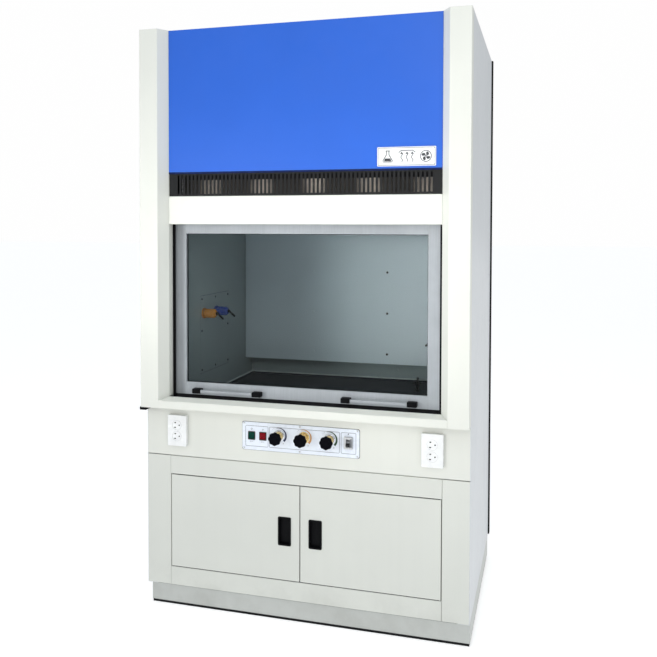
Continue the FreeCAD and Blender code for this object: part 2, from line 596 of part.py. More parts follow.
LW_X, LW_Y0, LW_Y1 = 320.0, 260.0, 400.0
ceil = box(-LIN_X, 55, CEIL_Z, LIN_X, 620, CEIL_Z + 4).cut(box(-LW_X, LW_Y0, CEIL_Z - 1, LW_X, LW_Y1, CEIL_Z + 5))
pocket = box(-LIN_X, 52, 1548, LIN_X, 55, H - T)
hood = box(-LW_X - 15, LW_Y0 - 15, CEIL_Z + 4, LW_X + 15, LW_Y1 + 15, CEIL_Z + 75).cut(
    box(-LW_X - 13.5, LW_Y0 - 13.5, CEIL_Z + 3, LW_X + 13.5, LW_Y1 + 13.5, CEIL_Z + 73.5))
out("chamber_ceiling", [ceil, pocket, hood])
out("lamp_window", box(-LW_X + 0.3, LW_Y0 + 0.3, CEIL_Z, LW_X - 0.3, LW_Y1 - 0.3, CEIL_Z + 4))
tube = cyl(13, (-295, 330, CEIL_Z + 38), (295, 330, CEIL_Z + 38))
ends = [box(s * 295, 320, CEIL_Z + 22, s * 305, 340, CEIL_Z + 73.5) for s in (-1, 1)]
out("lamp_tube", [tube] + ends)

# Service outlets on the liners: a colour-coded body with a hose nozzle.
nozzles = []
for n, (sg, y, z) in OUTLETS.items():
    x0 = sg * LIN_X
    b = cyl(21, (x0, y, z), (x0 - sg * 5, y, z))
    b = b.fuse(cyl(12, (x0 - sg * 5, y, z), (x0 - sg * 12, y, z)))
    b = b.fuse(cyl(18.5, (x0 - sg * 10, y, z), (x0 - sg * OUT_L, y, z)))
    b = b.fuse(cone(18.5, 11, (x0 - sg * OUT_L, y, z), (x0 - sg * (OUT_L + 8), y, z)))
    b = b.fuse(cyl(9.0, (x0, y, z), (x0 + sg * (LIN_T + 12), y, z)))
    out(n + "_outlet", b.removeSplitter())
    # nozzle leaves the body's end, angled down
    a = V(x0 - sg * (OUT_L + 8), y, z)
    d = V(-sg * math.cos(math.radians(40)), 0, -math.sin(math.radians(40)))
    length = 34.0 if n != "water" else 52.0
    p0 = a
    nz = cyl(6.0, tuple(p0), (p0.x - sg * 5, p0.y, p0.z))
    q = V(p0.x - sg * 3, p0.y, p0.z)
    nz = nz.fuse(Part.makeSphere(6.0, V(p0.x - sg * 5, p0.y, p0.z)).common(box(p0.x - sg * 5, y - 9, z - 9, p0.x - sg * 12, y + 9, z + 9)))
    nz = nz.fuse(Part.makeCylinder(3.4, length, V(p0.x - sg * 5, p0.y, p0.z), d))
    for k in range(3):
        o = V(p0.x - sg * 5, p0.y, p0.z) + d * (length - 6.5 - 6.5 * k)
        nz = nz.fuse(Part.makeCone(5.0, 3.4, 5.5, o, d))
    nozzles.append(nz.removeSplitter())
# Deck nozzle behind the cup sink.
DX, DY = 322.0, 607.0
dn = cyl(16, (DX, DY, TOP_Z), (DX, DY, TOP_Z + 5)).fuse(cyl(7, (DX, DY, TOP_Z + 5), (DX, DY, TOP_Z + 40)))
dn = dn.fuse(cyl(4.5, (DX, DY, TOP_Z + 40), (DX, DY, TOP_Z + 56)))
dn = dn.fuse(cyl(4.0, (DX - 20, DY, TOP_Z + 30), (DX + 14, DY, TOP_Z + 30)))
nozzles.append(dn.removeSplitter())
out("service_nozzles", nozzles)

# Pipework: rear inlets to the valves, and the valves to the outlets.
pipes = []
for x in VALVE_X:
    pipes.append(cyl(PIPE_R, (x, 56, VALVE_Z), (x, Y_REAR - 8, VALVE_Z)))
routes = {
    "air": (VALVE_X[0], 618.0, -548.0, 392.0),
    "gas": (VALVE_X[1], 596.0, -572.0, 272.0),
    "water": (VALVE_X[2], 618.0, 548.0, 330.0),
}
for n, (vx, zr, xs, yo) in routes.items():
    sg, y, z = OUTLETS[n]
    end_x = sg * (LIN_X + LIN_T + 12)
    pts = [(vx, 22, VALVE_Z - 28), (vx, 22, zr), (xs, 22, zr), (xs, yo, zr), (xs, yo, z), (end_x, yo, z)]
    r = min(12.0, (VALVE_Z - 28 - zr) * 0.8)
    pipes.append(pipe(pts, PIPE_R if n != "x" else PIPE_R, max(r, 8.0)))
out("service_pipes", pipes)

# Rear connections: a bulkhead stub for each supply, and the gland of the mains cable.
STUB_R, STUB_Y0, STUB_Y1 = 8.0, Y_REAR + 3, DEPTH - 3
conns = []
for x in VALVE_X:
    c = cyl(STUB_R, (x, Y_REAR - 8, INLET_Z), (x, STUB_Y1, INLET_Z))
    c = c.fuse(cyl(14, (x, Y_REAR, INLET_Z), (x, STUB_Y0, INLET_Z)))
    c = c.fuse(prism([(x + 13 * math.cos(math.radians(60 * k)), INLET_Z + 13 * math.sin(math.radians(60 * k))) for k in range(6)], "y", Y_REAR - T - 5, Y_REAR - T))
    conns.append(c.removeSplitter())
GX, GR = 420.0, 6.0
g = cyl(10, (GX, Y_REAR - 8, INLET_Z), (GX, Y_REAR + 4, INLET_Z))
g = g.fuse(prism([(GX + 15 * math.cos(math.radians(60 * k)), INLET_Z + 15 * math.sin(math.radians(60 * k))) for k in range(6)], "y", Y_REAR, Y_REAR + 8))
g = g.fuse(cyl(12, (GX, Y_REAR + 8, INLET_Z), (GX, Y_REAR + 26, INLET_Z)))
g = g.fuse(prism([(GX + 14 * math.cos(math.radians(60 * k)), INLET_Z + 14 * math.sin(math.radians(60 * k))) for k in range(6)], "y", Y_REAR - T - 4, Y_REAR - T))
g = g.cut(cyl(GR, (GX, Y_REAR - 10, INLET_Z), (GX, Y_REAR + 30, INLET_Z)))
conns.append(g.removeSplitter())
out("rear_connections", conns)

# --------------------------------------------------------------------- sash
st = box(GLASS_X, SASH_Y0, SASH_Z0, SASH_X, SASH_Y1, SASH_Z1)
st = fillet_at(st, "z", [((GLASS_X, SASH_Y0), 1.5), ((GLASS_X, SASH_Y1), 1.5)])
st = st.cut(box(GLASS_X + 2, SASH_Y0 + 2, SASH_Z0 - 1, SASH_X - 2, SASH_Y1 - 2, SASH_Z1 + 1))
rb = box(-GLASS_X, SASH_Y0, SASH_Z0, GLASS_X, SASH_Y1, GLASS_Z0)
rb = rb.cut(box(-GLASS_X - 1, SASH_Y0 + 2, SASH_Z0 + 2, GLASS_X + 1, SASH_Y1 - 2, GLASS_Z0 - 2))
rt = box(-GLASS_X, SASH_Y0, GLASS_Z1, GLASS_X, SASH_Y1, SASH_Z1)
rt = rt.cut(box(-GLASS_X - 1, SASH_Y0 + 2, GLASS_Z1 + 2, GLASS_X + 1, SASH_Y1 - 2, SASH_Z1 - 2))
clampr = box(462, 24, SASH_Z1, 478, 40, SASH_Z1 + 10)
out("sash_frame", [st, mirror_x(st), rb, rt, clampr, mirror_x(clampr)])
out("sash_glass", box(-GLASS_X, 30, GLASS_Z0, GLASS_X, 35, GLASS_Z1))
out("sash_bumper", box(-SASH_X + 7, SASH_Y0 + 1, LEDGE + 0.2, SASH_X - 7, SASH_Y1 - 1, SASH_Z0))

GX0, GX1, GH = 166.0, 400.0, 17.0
grips, mounts = [], []
for s in (-1, 1):
    g = box(s * (GX0 + GH), -4, 817, s * (GX1 - GH), 3, 829)
    g = fillet_at(g, "x", [((-4, 817), 2.5), ((-4, 829), 3.0), ((3, 817), 1.0), ((3, 829), 1.0)])
    grips.append(g)
    for gx in (GX0, GX1):
        m = box(s * gx - GH, -6, 815, s * gx + GH, SASH_Y0, 832)
        m = fillet_at(m, "z", [((s * gx - GH, -6), 3.0), ((s * gx + GH, -6), 3.0)])
        mounts.append(m)
out("sash_grips", grips)
out("sash_grip_mounts", mounts)

# Sash guides: black channels behind the posts' returns.
gpath = [(492, 15), (X_IN, 15), (X_IN, CH_Y0), (492, CH_Y0)]
guide = sheet(gpath, 3.0, "z", LEDGE + 0.0, 2030, bend=1.0)
out("sash_guides", [guide, mirror_x(guide)])

# Counterweights in the posts, one pulley each, and their cables.
for s, side in ((-1, "left"), (1, "right")):
    cw = box(s * 522, 8, CW_Z0, s * 578, 56, CW_Z1)
    cw = fillet_at(cw, "z", [((s * x, y), 3.0) for x in (522, 578) for y in (8, 56)])
    cw = cw.fuse(cyl(6, (s * 550, PUL_Y, CW_Z1), (s * 550, PUL_Y, CW_Z1 + 12)))
    out(side + "_counterweight", cw.removeSplitter())
    prof = [(5.05, 26), (45, 26), (45, 28.5), (38, 30), (38, 34), (45, 35.5), (45, 38), (5.05, 38)]
    vs = [V(s * PUL_X + r, y, PUL_Z) for r, y in prof]
    vs.append(vs[0])
    pul = Part.Face(Part.makePolygon(vs)).revolve(V(s * PUL_X, 0, PUL_Z), V(0, 1, 0), 360)
    for k in range(4):
        a = math.radians(90 * k + 45)
        hx, hz = s * PUL_X + 22 * math.cos(a), PUL_Z + 22 * math.sin(a)
        pul = pul.cut(cyl(7, (hx, 20, hz), (hx, 45, hz)))
    out(side + "_pulley", pul)

axles = []
for s in (-1, 1):
    ax = cyl(5.0, (s * PUL_X, 16, PUL_Z), (s * PUL_X, 48, PUL_Z))
    br = box(s * (PUL_X - 14), 19, PUL_Z - 16, s * (PUL_X + 14), 22, H - T).fuse(
        box(s * (PUL_X - 14), 42, PUL_Z - 16, s * (PUL_X + 14), 45, H - T)).fuse(
        box(s * (PUL_X - 14), 19, H - T - 3, s * (PUL_X + 14), 45, H - T))
    axles.append(ax.fuse(br).removeSplitter())
out("pulley_axles", axles)

cables = []
for s in (-1, 1):
    x0, x1 = s * (PUL_X - PUL_R), s * (PUL_X + PUL_R)
    e = [Part.LineSegment(V(x0, PUL_Y, SASH_Z1 + 10), V(x0, PUL_Y, PUL_Z)).toShape(),
         Part.Arc(V(x0, PUL_Y, PUL_Z), V(s * PUL_X, PUL_Y, PUL_Z + PUL_R), V(x1, PUL_Y, PUL_Z)).toShape(),
         Part.LineSegment(V(x1, PUL_Y, PUL_Z), V(x1, PUL_Y, CW_Z1 + 12)).toShape()]
    w = Part.Wire(e)
    prof = Part.Wire([Part.Circle(V(x0, PUL_Y, SASH_Z1 + 10), V(0, 0, 1), CABLE_R).toShape()])
    c = w.makePipeShell([prof], True, True)
    c = Part.Solid(c) if c.ShapeType == "Shell" else c
    cables.append(c)
out("sash_cables", cables)

# ----------------------------------------------------------------- fasteners
def screw(p, d, r=3.4, h=1.8):
    p, d = V(*p), V(*d)
    s = Part.makeCylinder(r, h, p, d)
    top_edges = [e for e in s.Edges if (e.CenterOfMass - (p + d * h)).Length < 0.01]
    try:
        s = s.makeFillet(0.9, top_edges)
    except Exception:
        pass
    cross = d.cross(V(0, 0, 1)) if abs(d.z) < 0.5 else V(1, 0, 0)
    cross.normalize()
    up = d.cross(cross)
    a = p + d * (h - 0.7)
    for u, v in ((cross, up), (up, cross)):
        pts = [a + u * (r * 0.6) + v * 0.35, a - u * (r * 0.6) + v * 0.35, a - u * (r * 0.6) - v * 0.35, a + u * (r * 0.6) - v * 0.35]
        f = Part.Face(Part.makePolygon(pts + [pts[0]]))
        s = s.cut(f.extrude(d * 2))
    return s


scr = []
for x in (-CP_X + 7, 0, CP_X - 7):
    for z in (CP_Z0 + 5.5, CP_Z1 - 5.5):
        scr.append(screw((x, -CP_T, z), (0, -1, 0)))
for x in (285.5, 474.5):
    for z in (1640.5, 1694.5):
        scr.append(screw((x, Y_VAL - 2.0, z), (0, -1, 0), 1.6, 0.9))
for x in (-BSX, BSX):
    for z in BSZ:
        scr.append(screw((x, BAF_Y, z), (0, -1, 0), 5.0, 2.5))
for s in (-1, 1):
    for y in (AP_Y0 + 14, (AP_Y0 + AP_Y1) / 2, AP_Y1 - 14):
        for z in (AP_Z0 + 14, (AP_Z0 + AP_Z1) / 2 + 15 if y != (AP_Y0 + AP_Y1) / 2 else AP_Z0 + 14, AP_Z1 - 14):
            scr.append((s, y, z))
    for cz in (0,):
        scr.append(screw((s * OUT_X, -15.0, OUT_Z), (0, -1, 0), 2.6, 1.0))
seen, final = set(), []
for q in scr:
    if isinstance(q, tuple):
        if q in seen:
            continue
        seen.add(q)
        s, y, z = q
        final.append(screw((s * LIN_X, y, z), (-s, 0, 0), 4.2, 2.2))
    else:
        final.append(q)
out("panel_screws", final)

bb = None
for n, c in TOTAL.items():
    b = c.BoundBox
    bb = b if bb is None else bb.united(b)
print("nodes", len(TOTAL), "box", [round(v, 2) for v in (bb.XMin, bb.YMin, bb.ZMin, bb.XMax, bb.YMax, bb.ZMax)])
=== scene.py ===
"""Laboratory fume hood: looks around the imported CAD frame."""
import math

import bmesh
import bpy
from mathutils import Matrix, Vector


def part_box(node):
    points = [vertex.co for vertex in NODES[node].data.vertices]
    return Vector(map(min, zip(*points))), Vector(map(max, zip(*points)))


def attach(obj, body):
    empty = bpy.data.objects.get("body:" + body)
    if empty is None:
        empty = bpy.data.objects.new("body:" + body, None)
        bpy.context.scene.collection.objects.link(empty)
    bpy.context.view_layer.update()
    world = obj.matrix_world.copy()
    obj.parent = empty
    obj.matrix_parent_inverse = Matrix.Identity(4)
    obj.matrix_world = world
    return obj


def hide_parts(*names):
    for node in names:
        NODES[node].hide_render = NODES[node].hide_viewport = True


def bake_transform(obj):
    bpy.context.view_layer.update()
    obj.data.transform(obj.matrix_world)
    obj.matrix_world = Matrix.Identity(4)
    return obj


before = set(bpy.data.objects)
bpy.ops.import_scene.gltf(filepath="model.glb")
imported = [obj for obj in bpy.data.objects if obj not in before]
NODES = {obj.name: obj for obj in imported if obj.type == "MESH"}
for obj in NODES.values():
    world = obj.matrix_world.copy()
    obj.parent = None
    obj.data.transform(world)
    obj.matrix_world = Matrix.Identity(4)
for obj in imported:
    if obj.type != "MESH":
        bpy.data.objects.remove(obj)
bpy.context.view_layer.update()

MM = 0.001


def B(node):
    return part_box(node)


def mid(node):
    lo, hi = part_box(node)
    return (lo + hi) / 2


# ------------------------------------------------------------------ camera
cam_data = bpy.data.cameras.new("camera")
cam = bpy.data.objects.new("camera", cam_data)
bpy.context.scene.collection.objects.link(cam)
cam_data.sensor_width = 36.0
cam_data.lens = 42.807
cam_data.shift_x = 0.00058
cam_data.shift_y = -0.1195
cam_data.clip_start, cam_data.clip_end = 0.05, 200.0
R_ = Vector((0.962377, 0.271708, 0.002439))
U_ = Vector((-0.010210, 0.027190, 0.999578))
F_ = Vector((-0.271527, 0.961996, -0.028941))
L_ = Vector((0.84342, -3.019738, 1.427882))
cam.matrix_world = Matrix(((R_.x, U_.x, -F_.x, L_.x), (R_.y, U_.y, -F_.y, L_.y), (R_.z, U_.z, -F_.z, L_.z), (0, 0, 0, 1)))
bpy.context.scene.camera = cam
bpy.context.scene.view_settings.view_transform = "Standard"
bpy.context.scene.view_settings.look = "None"


# ------------------------------------------------------------- node helpers
class Mat:
    """A Principled material with small helpers for building its node tree."""

    def __init__(self, name, metallic=0.0, ior=1.5, coat=0.0, coat_rough=0.08, spec=0.5):
        self.m = bpy.data.materials.new(name)
        self.m.use_nodes = True
        self.nt = self.m.node_tree
        self.nt.nodes.clear()
        self.out = self.add("ShaderNodeOutputMaterial")
        self.p = self.add("ShaderNodeBsdfPrincipled")
        self.p.inputs["Metallic"].default_value = metallic
        self.p.inputs["IOR"].default_value = ior
        self.p.inputs["Specular IOR Level"].default_value = spec
        self.p.inputs["Coat Weight"].default_value = coat
        self.p.inputs["Coat Roughness"].default_value = coat_rough
        self.link(self.p.outputs[0], self.out.inputs["Surface"])
        self.tc = self.add("ShaderNodeTexCoord").outputs["Object"]

    def add(self, kind):
        return self.nt.nodes.new(kind)

    def link(self, a, b):
        self.nt.links.new(a, b)

    def scaled(self, v):
        n = self.add("ShaderNodeMapping")
        n.inputs["Scale"].default_value = v
        self.link(self.tc, n.inputs["Vector"])
        return n.outputs[0]

    def noise(self, scale, detail=3.0, rough=0.55, vec=None, distort=0.0):
        n = self.add("ShaderNodeTexNoise")
        n.inputs["Scale"].default_value = scale
        n.inputs["Detail"].default_value = detail
        n.inputs["Roughness"].default_value = rough
        n.inputs["Distortion"].default_value = distort
        self.link(vec or self.tc, n.inputs["Vector"])
        return n.outputs["Fac"]

    def voronoi(self, scale, vec=None, feature="F1"):
        n = self.add("ShaderNodeTexVoronoi")
        n.feature = feature
        n.inputs["Scale"].default_value = scale
        self.link(vec or self.tc, n.inputs["Vector"])
        return n.outputs["Distance"]

    def map(self, fac, a, b, c, d, smooth=False):
        n = self.add("ShaderNodeMapRange")
        n.interpolation_type = "SMOOTHSTEP" if smooth else "LINEAR"
        for i, v in zip(("From Min", "From Max", "To Min", "To Max"), (a, b, c, d)):
            n.inputs[i].default_value = v
        self.link(fac, n.inputs["Value"])
        return n.outputs[0]

    def math(self, op, a, b=None):
        n = self.add("ShaderNodeMath")
        n.operation = op
        for i, v in enumerate((a, b)):
            if v is None:
                continue
            if isinstance(v, (int, float)):
                n.inputs[i].default_value = v
            else:
                self.link(v, n.inputs[i])
        return n.outputs[0]

    def mix(self, fac, a, b, mode="MIX"):
        n = self.add("ShaderNodeMix")
        n.data_type = "RGBA"
        n.blend_type = mode
        for sock, v in ((n.inputs[0], fac), (n.inputs[6], a), (n.inputs[7], b)):
            if isinstance(v, (int, float)):
                sock.default_value = v
            elif isinstance(v, (tuple, list)):
                sock.default_value = (v[0], v[1], v[2], 1.0)
            else:
                self.link(v, sock)
        return n.outputs[2]

    def edge(self, radius=0.0012):
        """Rounded-edge normal, and a mask that is 1 on edges."""
        b = self.add("ShaderNodeBevel")
        b.samples = 4
        b.inputs["Radius"].default_value = radius
        g = self.add("ShaderNodeNewGeometry")
        d = self.add("ShaderNodeVectorMath")
        d.operation = "DOT_PRODUCT"
        self.link(b.outputs[0], d.inputs[0])
        self.link(g.outputs["Normal"], d.inputs[1])
        return b.outputs[0], self.map(d.outputs["Value"], 0.985, 0.80, 0.0, 1.0)

    def crevice(self, distance=0.02):
        # occlusion mask: 1 in corners and recesses, where shade falls
        n = self.add("ShaderNodeAmbientOcclusion")
        n.samples = 4
        n.inputs["Distance"].default_value = distance
        return self.map(n.outputs["AO"], 0.35, 0.95, 1.0, 0.0)

    def bump(self, height, strength, distance, normal=None):
        n = self.add("ShaderNodeBump")
        n.inputs["Strength"].default_value = strength
        n.inputs["Distance"].default_value = distance
        self.link(height, n.inputs["Height"])
        if normal is not None:
            self.link(normal, n.inputs["Normal"])
        return n.outputs[0]

    def xyz(self):
        n = self.add("ShaderNodeSeparateXYZ")
        self.link(self.tc, n.inputs[0])
        return n.outputs

    def done(self, color, rough, normal=None):
        self.link(color, self.p.inputs["Base Color"])
        if isinstance(rough, (int, float)):
            self.p.inputs["Roughness"].default_value = rough
        else:
            self.link(rough, self.p.inputs["Roughness"])
        if normal is not None:
            self.link(normal, self.p.inputs["Normal"])
        return self.m


def enamel(name, col, rough=0.36, crevice_and_low_col=(0.30, 0.30, 0.27), crevice_shade_amt=0.35, edge_col=None, peel=0.10, var=0.035, coat=0.0, streak=0.03, darken_low=True, spec=0.5):
    """Baked enamel on sheet steel: orange peel, faint mottling and run streaks, painted shade in corners, edges rubbed
    lighter.
    """
    m = Mat(name, coat=coat, spec=spec)
    big = m.noise(1.6, 3, 0.6)
    midn = m.noise(11.0, 4, 0.6)
    run = m.noise(1.0, 4, 0.6, vec=m.scaled((26.0, 26.0, 0.9)))
    lo = tuple(c * (1 - var) for c in col)
    hi = tuple(min(1.0, c * (1 + var)) for c in col)
    c = m.mix(m.map(big, 0.3, 0.7, 0, 1), lo, hi)
    c = m.mix(m.map(run, 0.45, 0.72, 0.0, streak * 3), c, tuple(x * 0.86 for x in col))
    c = m.mix(m.map(midn, 0.56, 0.74, 0.0, 0.10), c, tuple(x * 0.9 for x in col))
    nrm, edge = m.edge(0.0012)
    ec = edge_col or tuple(min(1.0, x * 1.08 + 0.02) for x in col)
    c = m.mix(m.math("MULTIPLY", edge, m.map(midn, 0.35, 0.65, 0.15, 0.7)), c, ec)
    # painted shade: corners and recesses darkened towards the crevice colour by the occlusion mask, patchy by noise
    crev = m.crevice(0.022)
    c = m.mix(m.math("MULTIPLY", crev, m.map(midn, 0.3, 0.7, crevice_shade_amt * 0.6, crevice_shade_amt)), c, crevice_and_low_col)
    if darken_low:
        # darker towards the bottom, below 22 cm and most at 2 cm, in noisy patches
        z = m.xyz()[2]
        low = m.math("MULTIPLY", m.map(z, 0.02, 0.22, 1.0, 0.0, True), m.map(m.noise(7.0, 5, 0.65), 0.42, 0.7, 0.0, 0.28))
        c = m.mix(low, c, crevice_and_low_col)
    r = m.map(m.noise(38.0, 3, 0.6), 0.3, 0.7, rough - 0.05, rough + 0.06)
    r = m.math("ADD", r, m.math("MULTIPLY", m.map(m.noise(5.0, 5, 0.7), 0.5, 0.72, 0, 1), 0.08))
    h = m.math("ADD", m.math("MULTIPLY", m.noise(620.0, 2, 0.5), 0.5), m.math("MULTIPLY", m.noise(3.2, 2, 0.5), 6.0))
    n = m.bump(h, peel, 0.0006, nrm)
    return m.done(c, r, n)


def plastic(name, col, rough=0.35, grain=900.0, grain_amt=0.10, var=0.05, edge_gain=0.10, coat=0.0, dust=0.12, dust_col=(0.45, 0.45, 0.42), spec=0.5):
    """Moulded plastic: spark-eroded grain, slight flow mottling, polished edges, dust."""
    m = Mat(name, coat=coat, spec=spec)
    flow = m.noise(30.0, 4, 0.6, distort=0.6)
    fine = m.noise(210.0, 3, 0.5)
    lo = tuple(c * (1 - var) for c in col)
    hi = tuple(min(1, c * (1 + var) + 0.002) for c in col)
    c = m.mix(m.map(flow, 0.3, 0.7, 0, 1), lo, hi)
    nrm, edge = m.edge(0.0006)
    c = m.mix(m.math("MULTIPLY", edge, 0.6), c, tuple(min(1, x * 1.1 + edge_gain) for x in col))
    c = m.mix(m.map(fine, 0.58, 0.78, 0.0, dust), c, dust_col)
    # painted shade: crevices darkened to 45 % by the occlusion mask
    c = m.mix(m.math("MULTIPLY", m.crevice(0.006), 0.25), c, tuple(x * 0.45 for x in col))
    r = m.map(m.noise(60.0, 3, 0.6), 0.3, 0.7, rough - 0.06, rough + 0.07)
    n = m.bump(m.voronoi(grain), grain_amt, 0.00025, nrm)
    return m.done(c, r, n)


def metal(name, col, rough=0.25, brush=None, var=0.06, tarnish=None, tarnish_amt=0.25, bump=0.08, aniso=0.0, metallic=1.0, painted_light_ramp=None):
    """Bare or plated metal. brush is the scale vector of its drawn lines."""
    m = Mat(name, metallic=metallic)
    if aniso:
        m.p.inputs["Anisotropic"].default_value = aniso
    base = m.noise(14.0, 4, 0.6)
    c = m.mix(m.map(base, 0.3, 0.7, 0, 1), tuple(x * (1 - var) for x in col), tuple(min(1, x * (1 + var)) for x in col))
    lines = m.noise(1.0, 3, 0.6, vec=m.scaled(brush)) if brush else m.noise(420.0, 2, 0.5)
    c = m.mix(m.map(lines, 0.35, 0.65, 0.0, 0.16), c, tuple(x * 0.72 for x in col))
    # painted shade: below the ramp's x range the colour darkens towards 30 % of itself
    if painted_light_ramp:
        c = m.mix(m.map(m.xyz()[0], painted_light_ramp[0], painted_light_ramp[1], painted_light_ramp[2], 0.0, True), c, tuple(x * 0.30 for x in col))
    nrm, edge = m.edge(0.0007)
    c = m.mix(m.math("MULTIPLY", edge, 0.5), c, tuple(min(1, x * 1.15 + 0.05) for x in col))
    if tarnish:
        c = m.mix(m.math("MULTIPLY", m.math("ADD", m.crevice(0.010), m.map(m.noise(45.0, 4, 0.7), 0.55, 0.75, 0, 0.6)), tarnish_amt), c, tarnish)
    r = m.math("ADD", m.map(lines, 0.3, 0.7, rough - 0.06, rough + 0.10), m.math("MULTIPLY", m.map(m.noise(9.0, 4, 0.7), 0.5, 0.7, 0, 1), 0.07))
    n = m.bump(lines, bump, 0.0002, nrm)
    return m.done(c, r, n)


def rubber(name, col=(0.006, 0.006, 0.007)):
    m = Mat(name, spec=0.15)
    c = m.mix(m.map(m.noise(60.0, 4, 0.6), 0.35, 0.7, 0, 1), col, tuple(x * 1.9 for x in col))
    c = m.mix(m.map(m.noise(9.0, 5, 0.7), 0.58, 0.78, 0.0, 0.10), c, (0.10, 0.10, 0.09))
    nrm, edge = m.edge(0.0008)
    c = m.mix(m.math("MULTIPLY", edge, 0.2), c, (0.04, 0.04, 0.04))
    r = m.map(m.noise(80.0, 3, 0.6), 0.3, 0.7, 0.55, 0.75)
    return m.done(c, r, m.bump(m.noise(700.0, 2, 0.5), 0.2, 0.0003, nrm))


def phenolic(name, col, rough=0.33, speck=(0.5, 0.52, 0.52), spill=True, var=0.05, speck_amt=0.06, spec=0.5, bump=0.03, painted_light_ramp=None):
    """Compact laminate or resin: fine speckle, wipe marks, faint stains and scratches."""
    m = Mat(name, spec=spec)
    c = m.mix(m.map(m.noise(3.0, 4, 0.6), 0.3, 0.7, 0, 1), tuple(x * (1 - var) for x in col), tuple(min(1, x * (1 + var)) for x in col))
    # painted light: across the ramp's x range the colour lightens to the ramp's colour
    if painted_light_ramp:
        c = m.mix(m.map(m.xyz()[0], painted_light_ramp[0], painted_light_ramp[1], 0.0, 1.0, True), c, painted_light_ramp[2])
    sp = m.map(m.noise(900.0, 2, 0.6), 0.58, 0.75, 0.0, speck_amt)
    c = m.mix(sp, c, speck)
    scr = m.noise(1.0, 3, 0.6, vec=m.scaled((9.0, 160.0, 9.0)))
    wipe = m.noise(2.6, 5, 0.65, distort=1.2)
    if spill:
        c = m.mix(m.map(wipe, 0.52, 0.75, 0.0, 0.07), c, tuple(min(1, x * 1.5 + 0.02) for x in col))
    nrm, edge = m.edge(0.0010)
    c = m.mix(m.math("MULTIPLY", edge, 0.35), c, tuple(min(1, x * 1.5 + 0.04) for x in col))
    # painted shade: corners darkened to half by the occlusion mask
    c = m.mix(m.math("MULTIPLY", m.crevice(0.03), 0.35), c, tuple(x * 0.5 for x in col))
    r = m.math("ADD", m.map(wipe, 0.35, 0.7, rough - 0.07, rough + 0.12), m.map(scr, 0.55, 0.7, 0.0, 0.08))
    n = m.bump(m.math("ADD", m.noise(900.0, 2, 0.5), m.math("MULTIPLY", scr, 0.6)), bump, 0.0003, nrm)
    return m.done(c, r, n)


def thin_glass(name, tint=(0.915, 0.945, 0.94), haze=0.004):
    """Clear toughened pane: what is behind shows through, with a gloss that grows at grazing angles and faint wipe marks."""
    m = Mat(name)
    nt = m.nt
    nt.nodes.remove(m.p)
    tr = m.add("ShaderNodeBsdfTransparent")
    tr.inputs[0].default_value = (*tint, 1)
    gl = m.add("ShaderNodeBsdfGlossy")
    smear = m.noise(3.5, 5, 0.7, distort=1.0)
    m.link(m.mix(m.map(smear, 0.3, 0.7, 0, 1), (0.97, 0.98, 0.98), (1, 1, 1)), gl.inputs["Color"])
    m.link(m.map(smear, 0.4, 0.75, 0.03, 0.14), gl.inputs["Roughness"])
    fr = m.add("ShaderNodeFresnel")
    fr.inputs["IOR"].default_value = 1.13
    a = m.add("ShaderNodeMixShader")
    m.link(fr.outputs[0], a.inputs[0])
    m.link(tr.outputs[0], a.inputs[1])
    m.link(gl.outputs[0], a.inputs[2])
    df = m.add("ShaderNodeBsdfDiffuse")
    df.inputs[0].default_value = (0.8, 0.84, 0.84, 1)
    b = m.add("ShaderNodeMixShader")
    m.link(m.map(smear, 0.35, 0.8, haze * 0.6, haze * 1.7), b.inputs[0])
    m.link(a.outputs[0], b.inputs[1])
    m.link(df.outputs[0], b.inputs[2])
    m.link(b.outputs[0], m.out.inputs["Surface"])
    return m.m


def frosted(name):
    m = Mat(name)
    m.p.inputs["Transmission Weight"].default_value = 0.55
    c = m.mix(m.map(m.noise(40.0, 3, 0.6), 0.3, 0.7, 0, 1), (0.84, 0.87, 0.88), (0.92, 0.94, 0.95))
    return m.done(c, m.map(m.noise(120.0, 3, 0.6), 0.3, 0.7, 0.45, 0.65), m.bump(m.voronoi(260.0), 0.25, 0.0004))


WHITE = (0.775, 0.782, 0.728)
M_WHITE = enamel("white_enamel", WHITE, rough=0.38)
# painted shade: a darker, bluer copy of the white enamel for the sides and carcass
M_SIDE_SHADED = enamel("white_enamel_sides_shaded", (0.705, 0.725, 0.745), rough=0.38)
# painted shade: a darker copy of the white enamel for the lower cabinet and doors
M_BASE_SHADED = enamel("white_enamel_cabinet_shaded", (0.722, 0.732, 0.682), rough=0.38)
# painted shade: a still darker copy of the white enamel for the recessed plinth
M_PLINTH_SHADED = enamel("white_enamel_plinth_shaded", (0.58, 0.595, 0.57), rough=0.42)
M_WHITE_IN = enamel("white_enamel_inside", (0.70, 0.70, 0.66), rough=0.45, darken_low=False)
M_BLUE = enamel("blue_enamel", (0.018, 0.124, 0.63), rough=0.36, crevice_and_low_col=(0.012, 0.04, 0.18), edge_col=(0.05, 0.20, 0.75), var=0.05, streak=0.015, darken_low=False, peel=0.10)
M_NAVY_SHADE = rubber("navy_shade_edging", (0.006, 0.012, 0.055))
M_BLACK = enamel("black_enamel", (0.013, 0.013, 0.014), rough=0.46, crevice_and_low_col=(0.05, 0.05, 0.045), crevice_shade_amt=0.25, edge_col=(0.05, 0.05, 0.05), var=0.15, darken_low=False, spec=0.25)
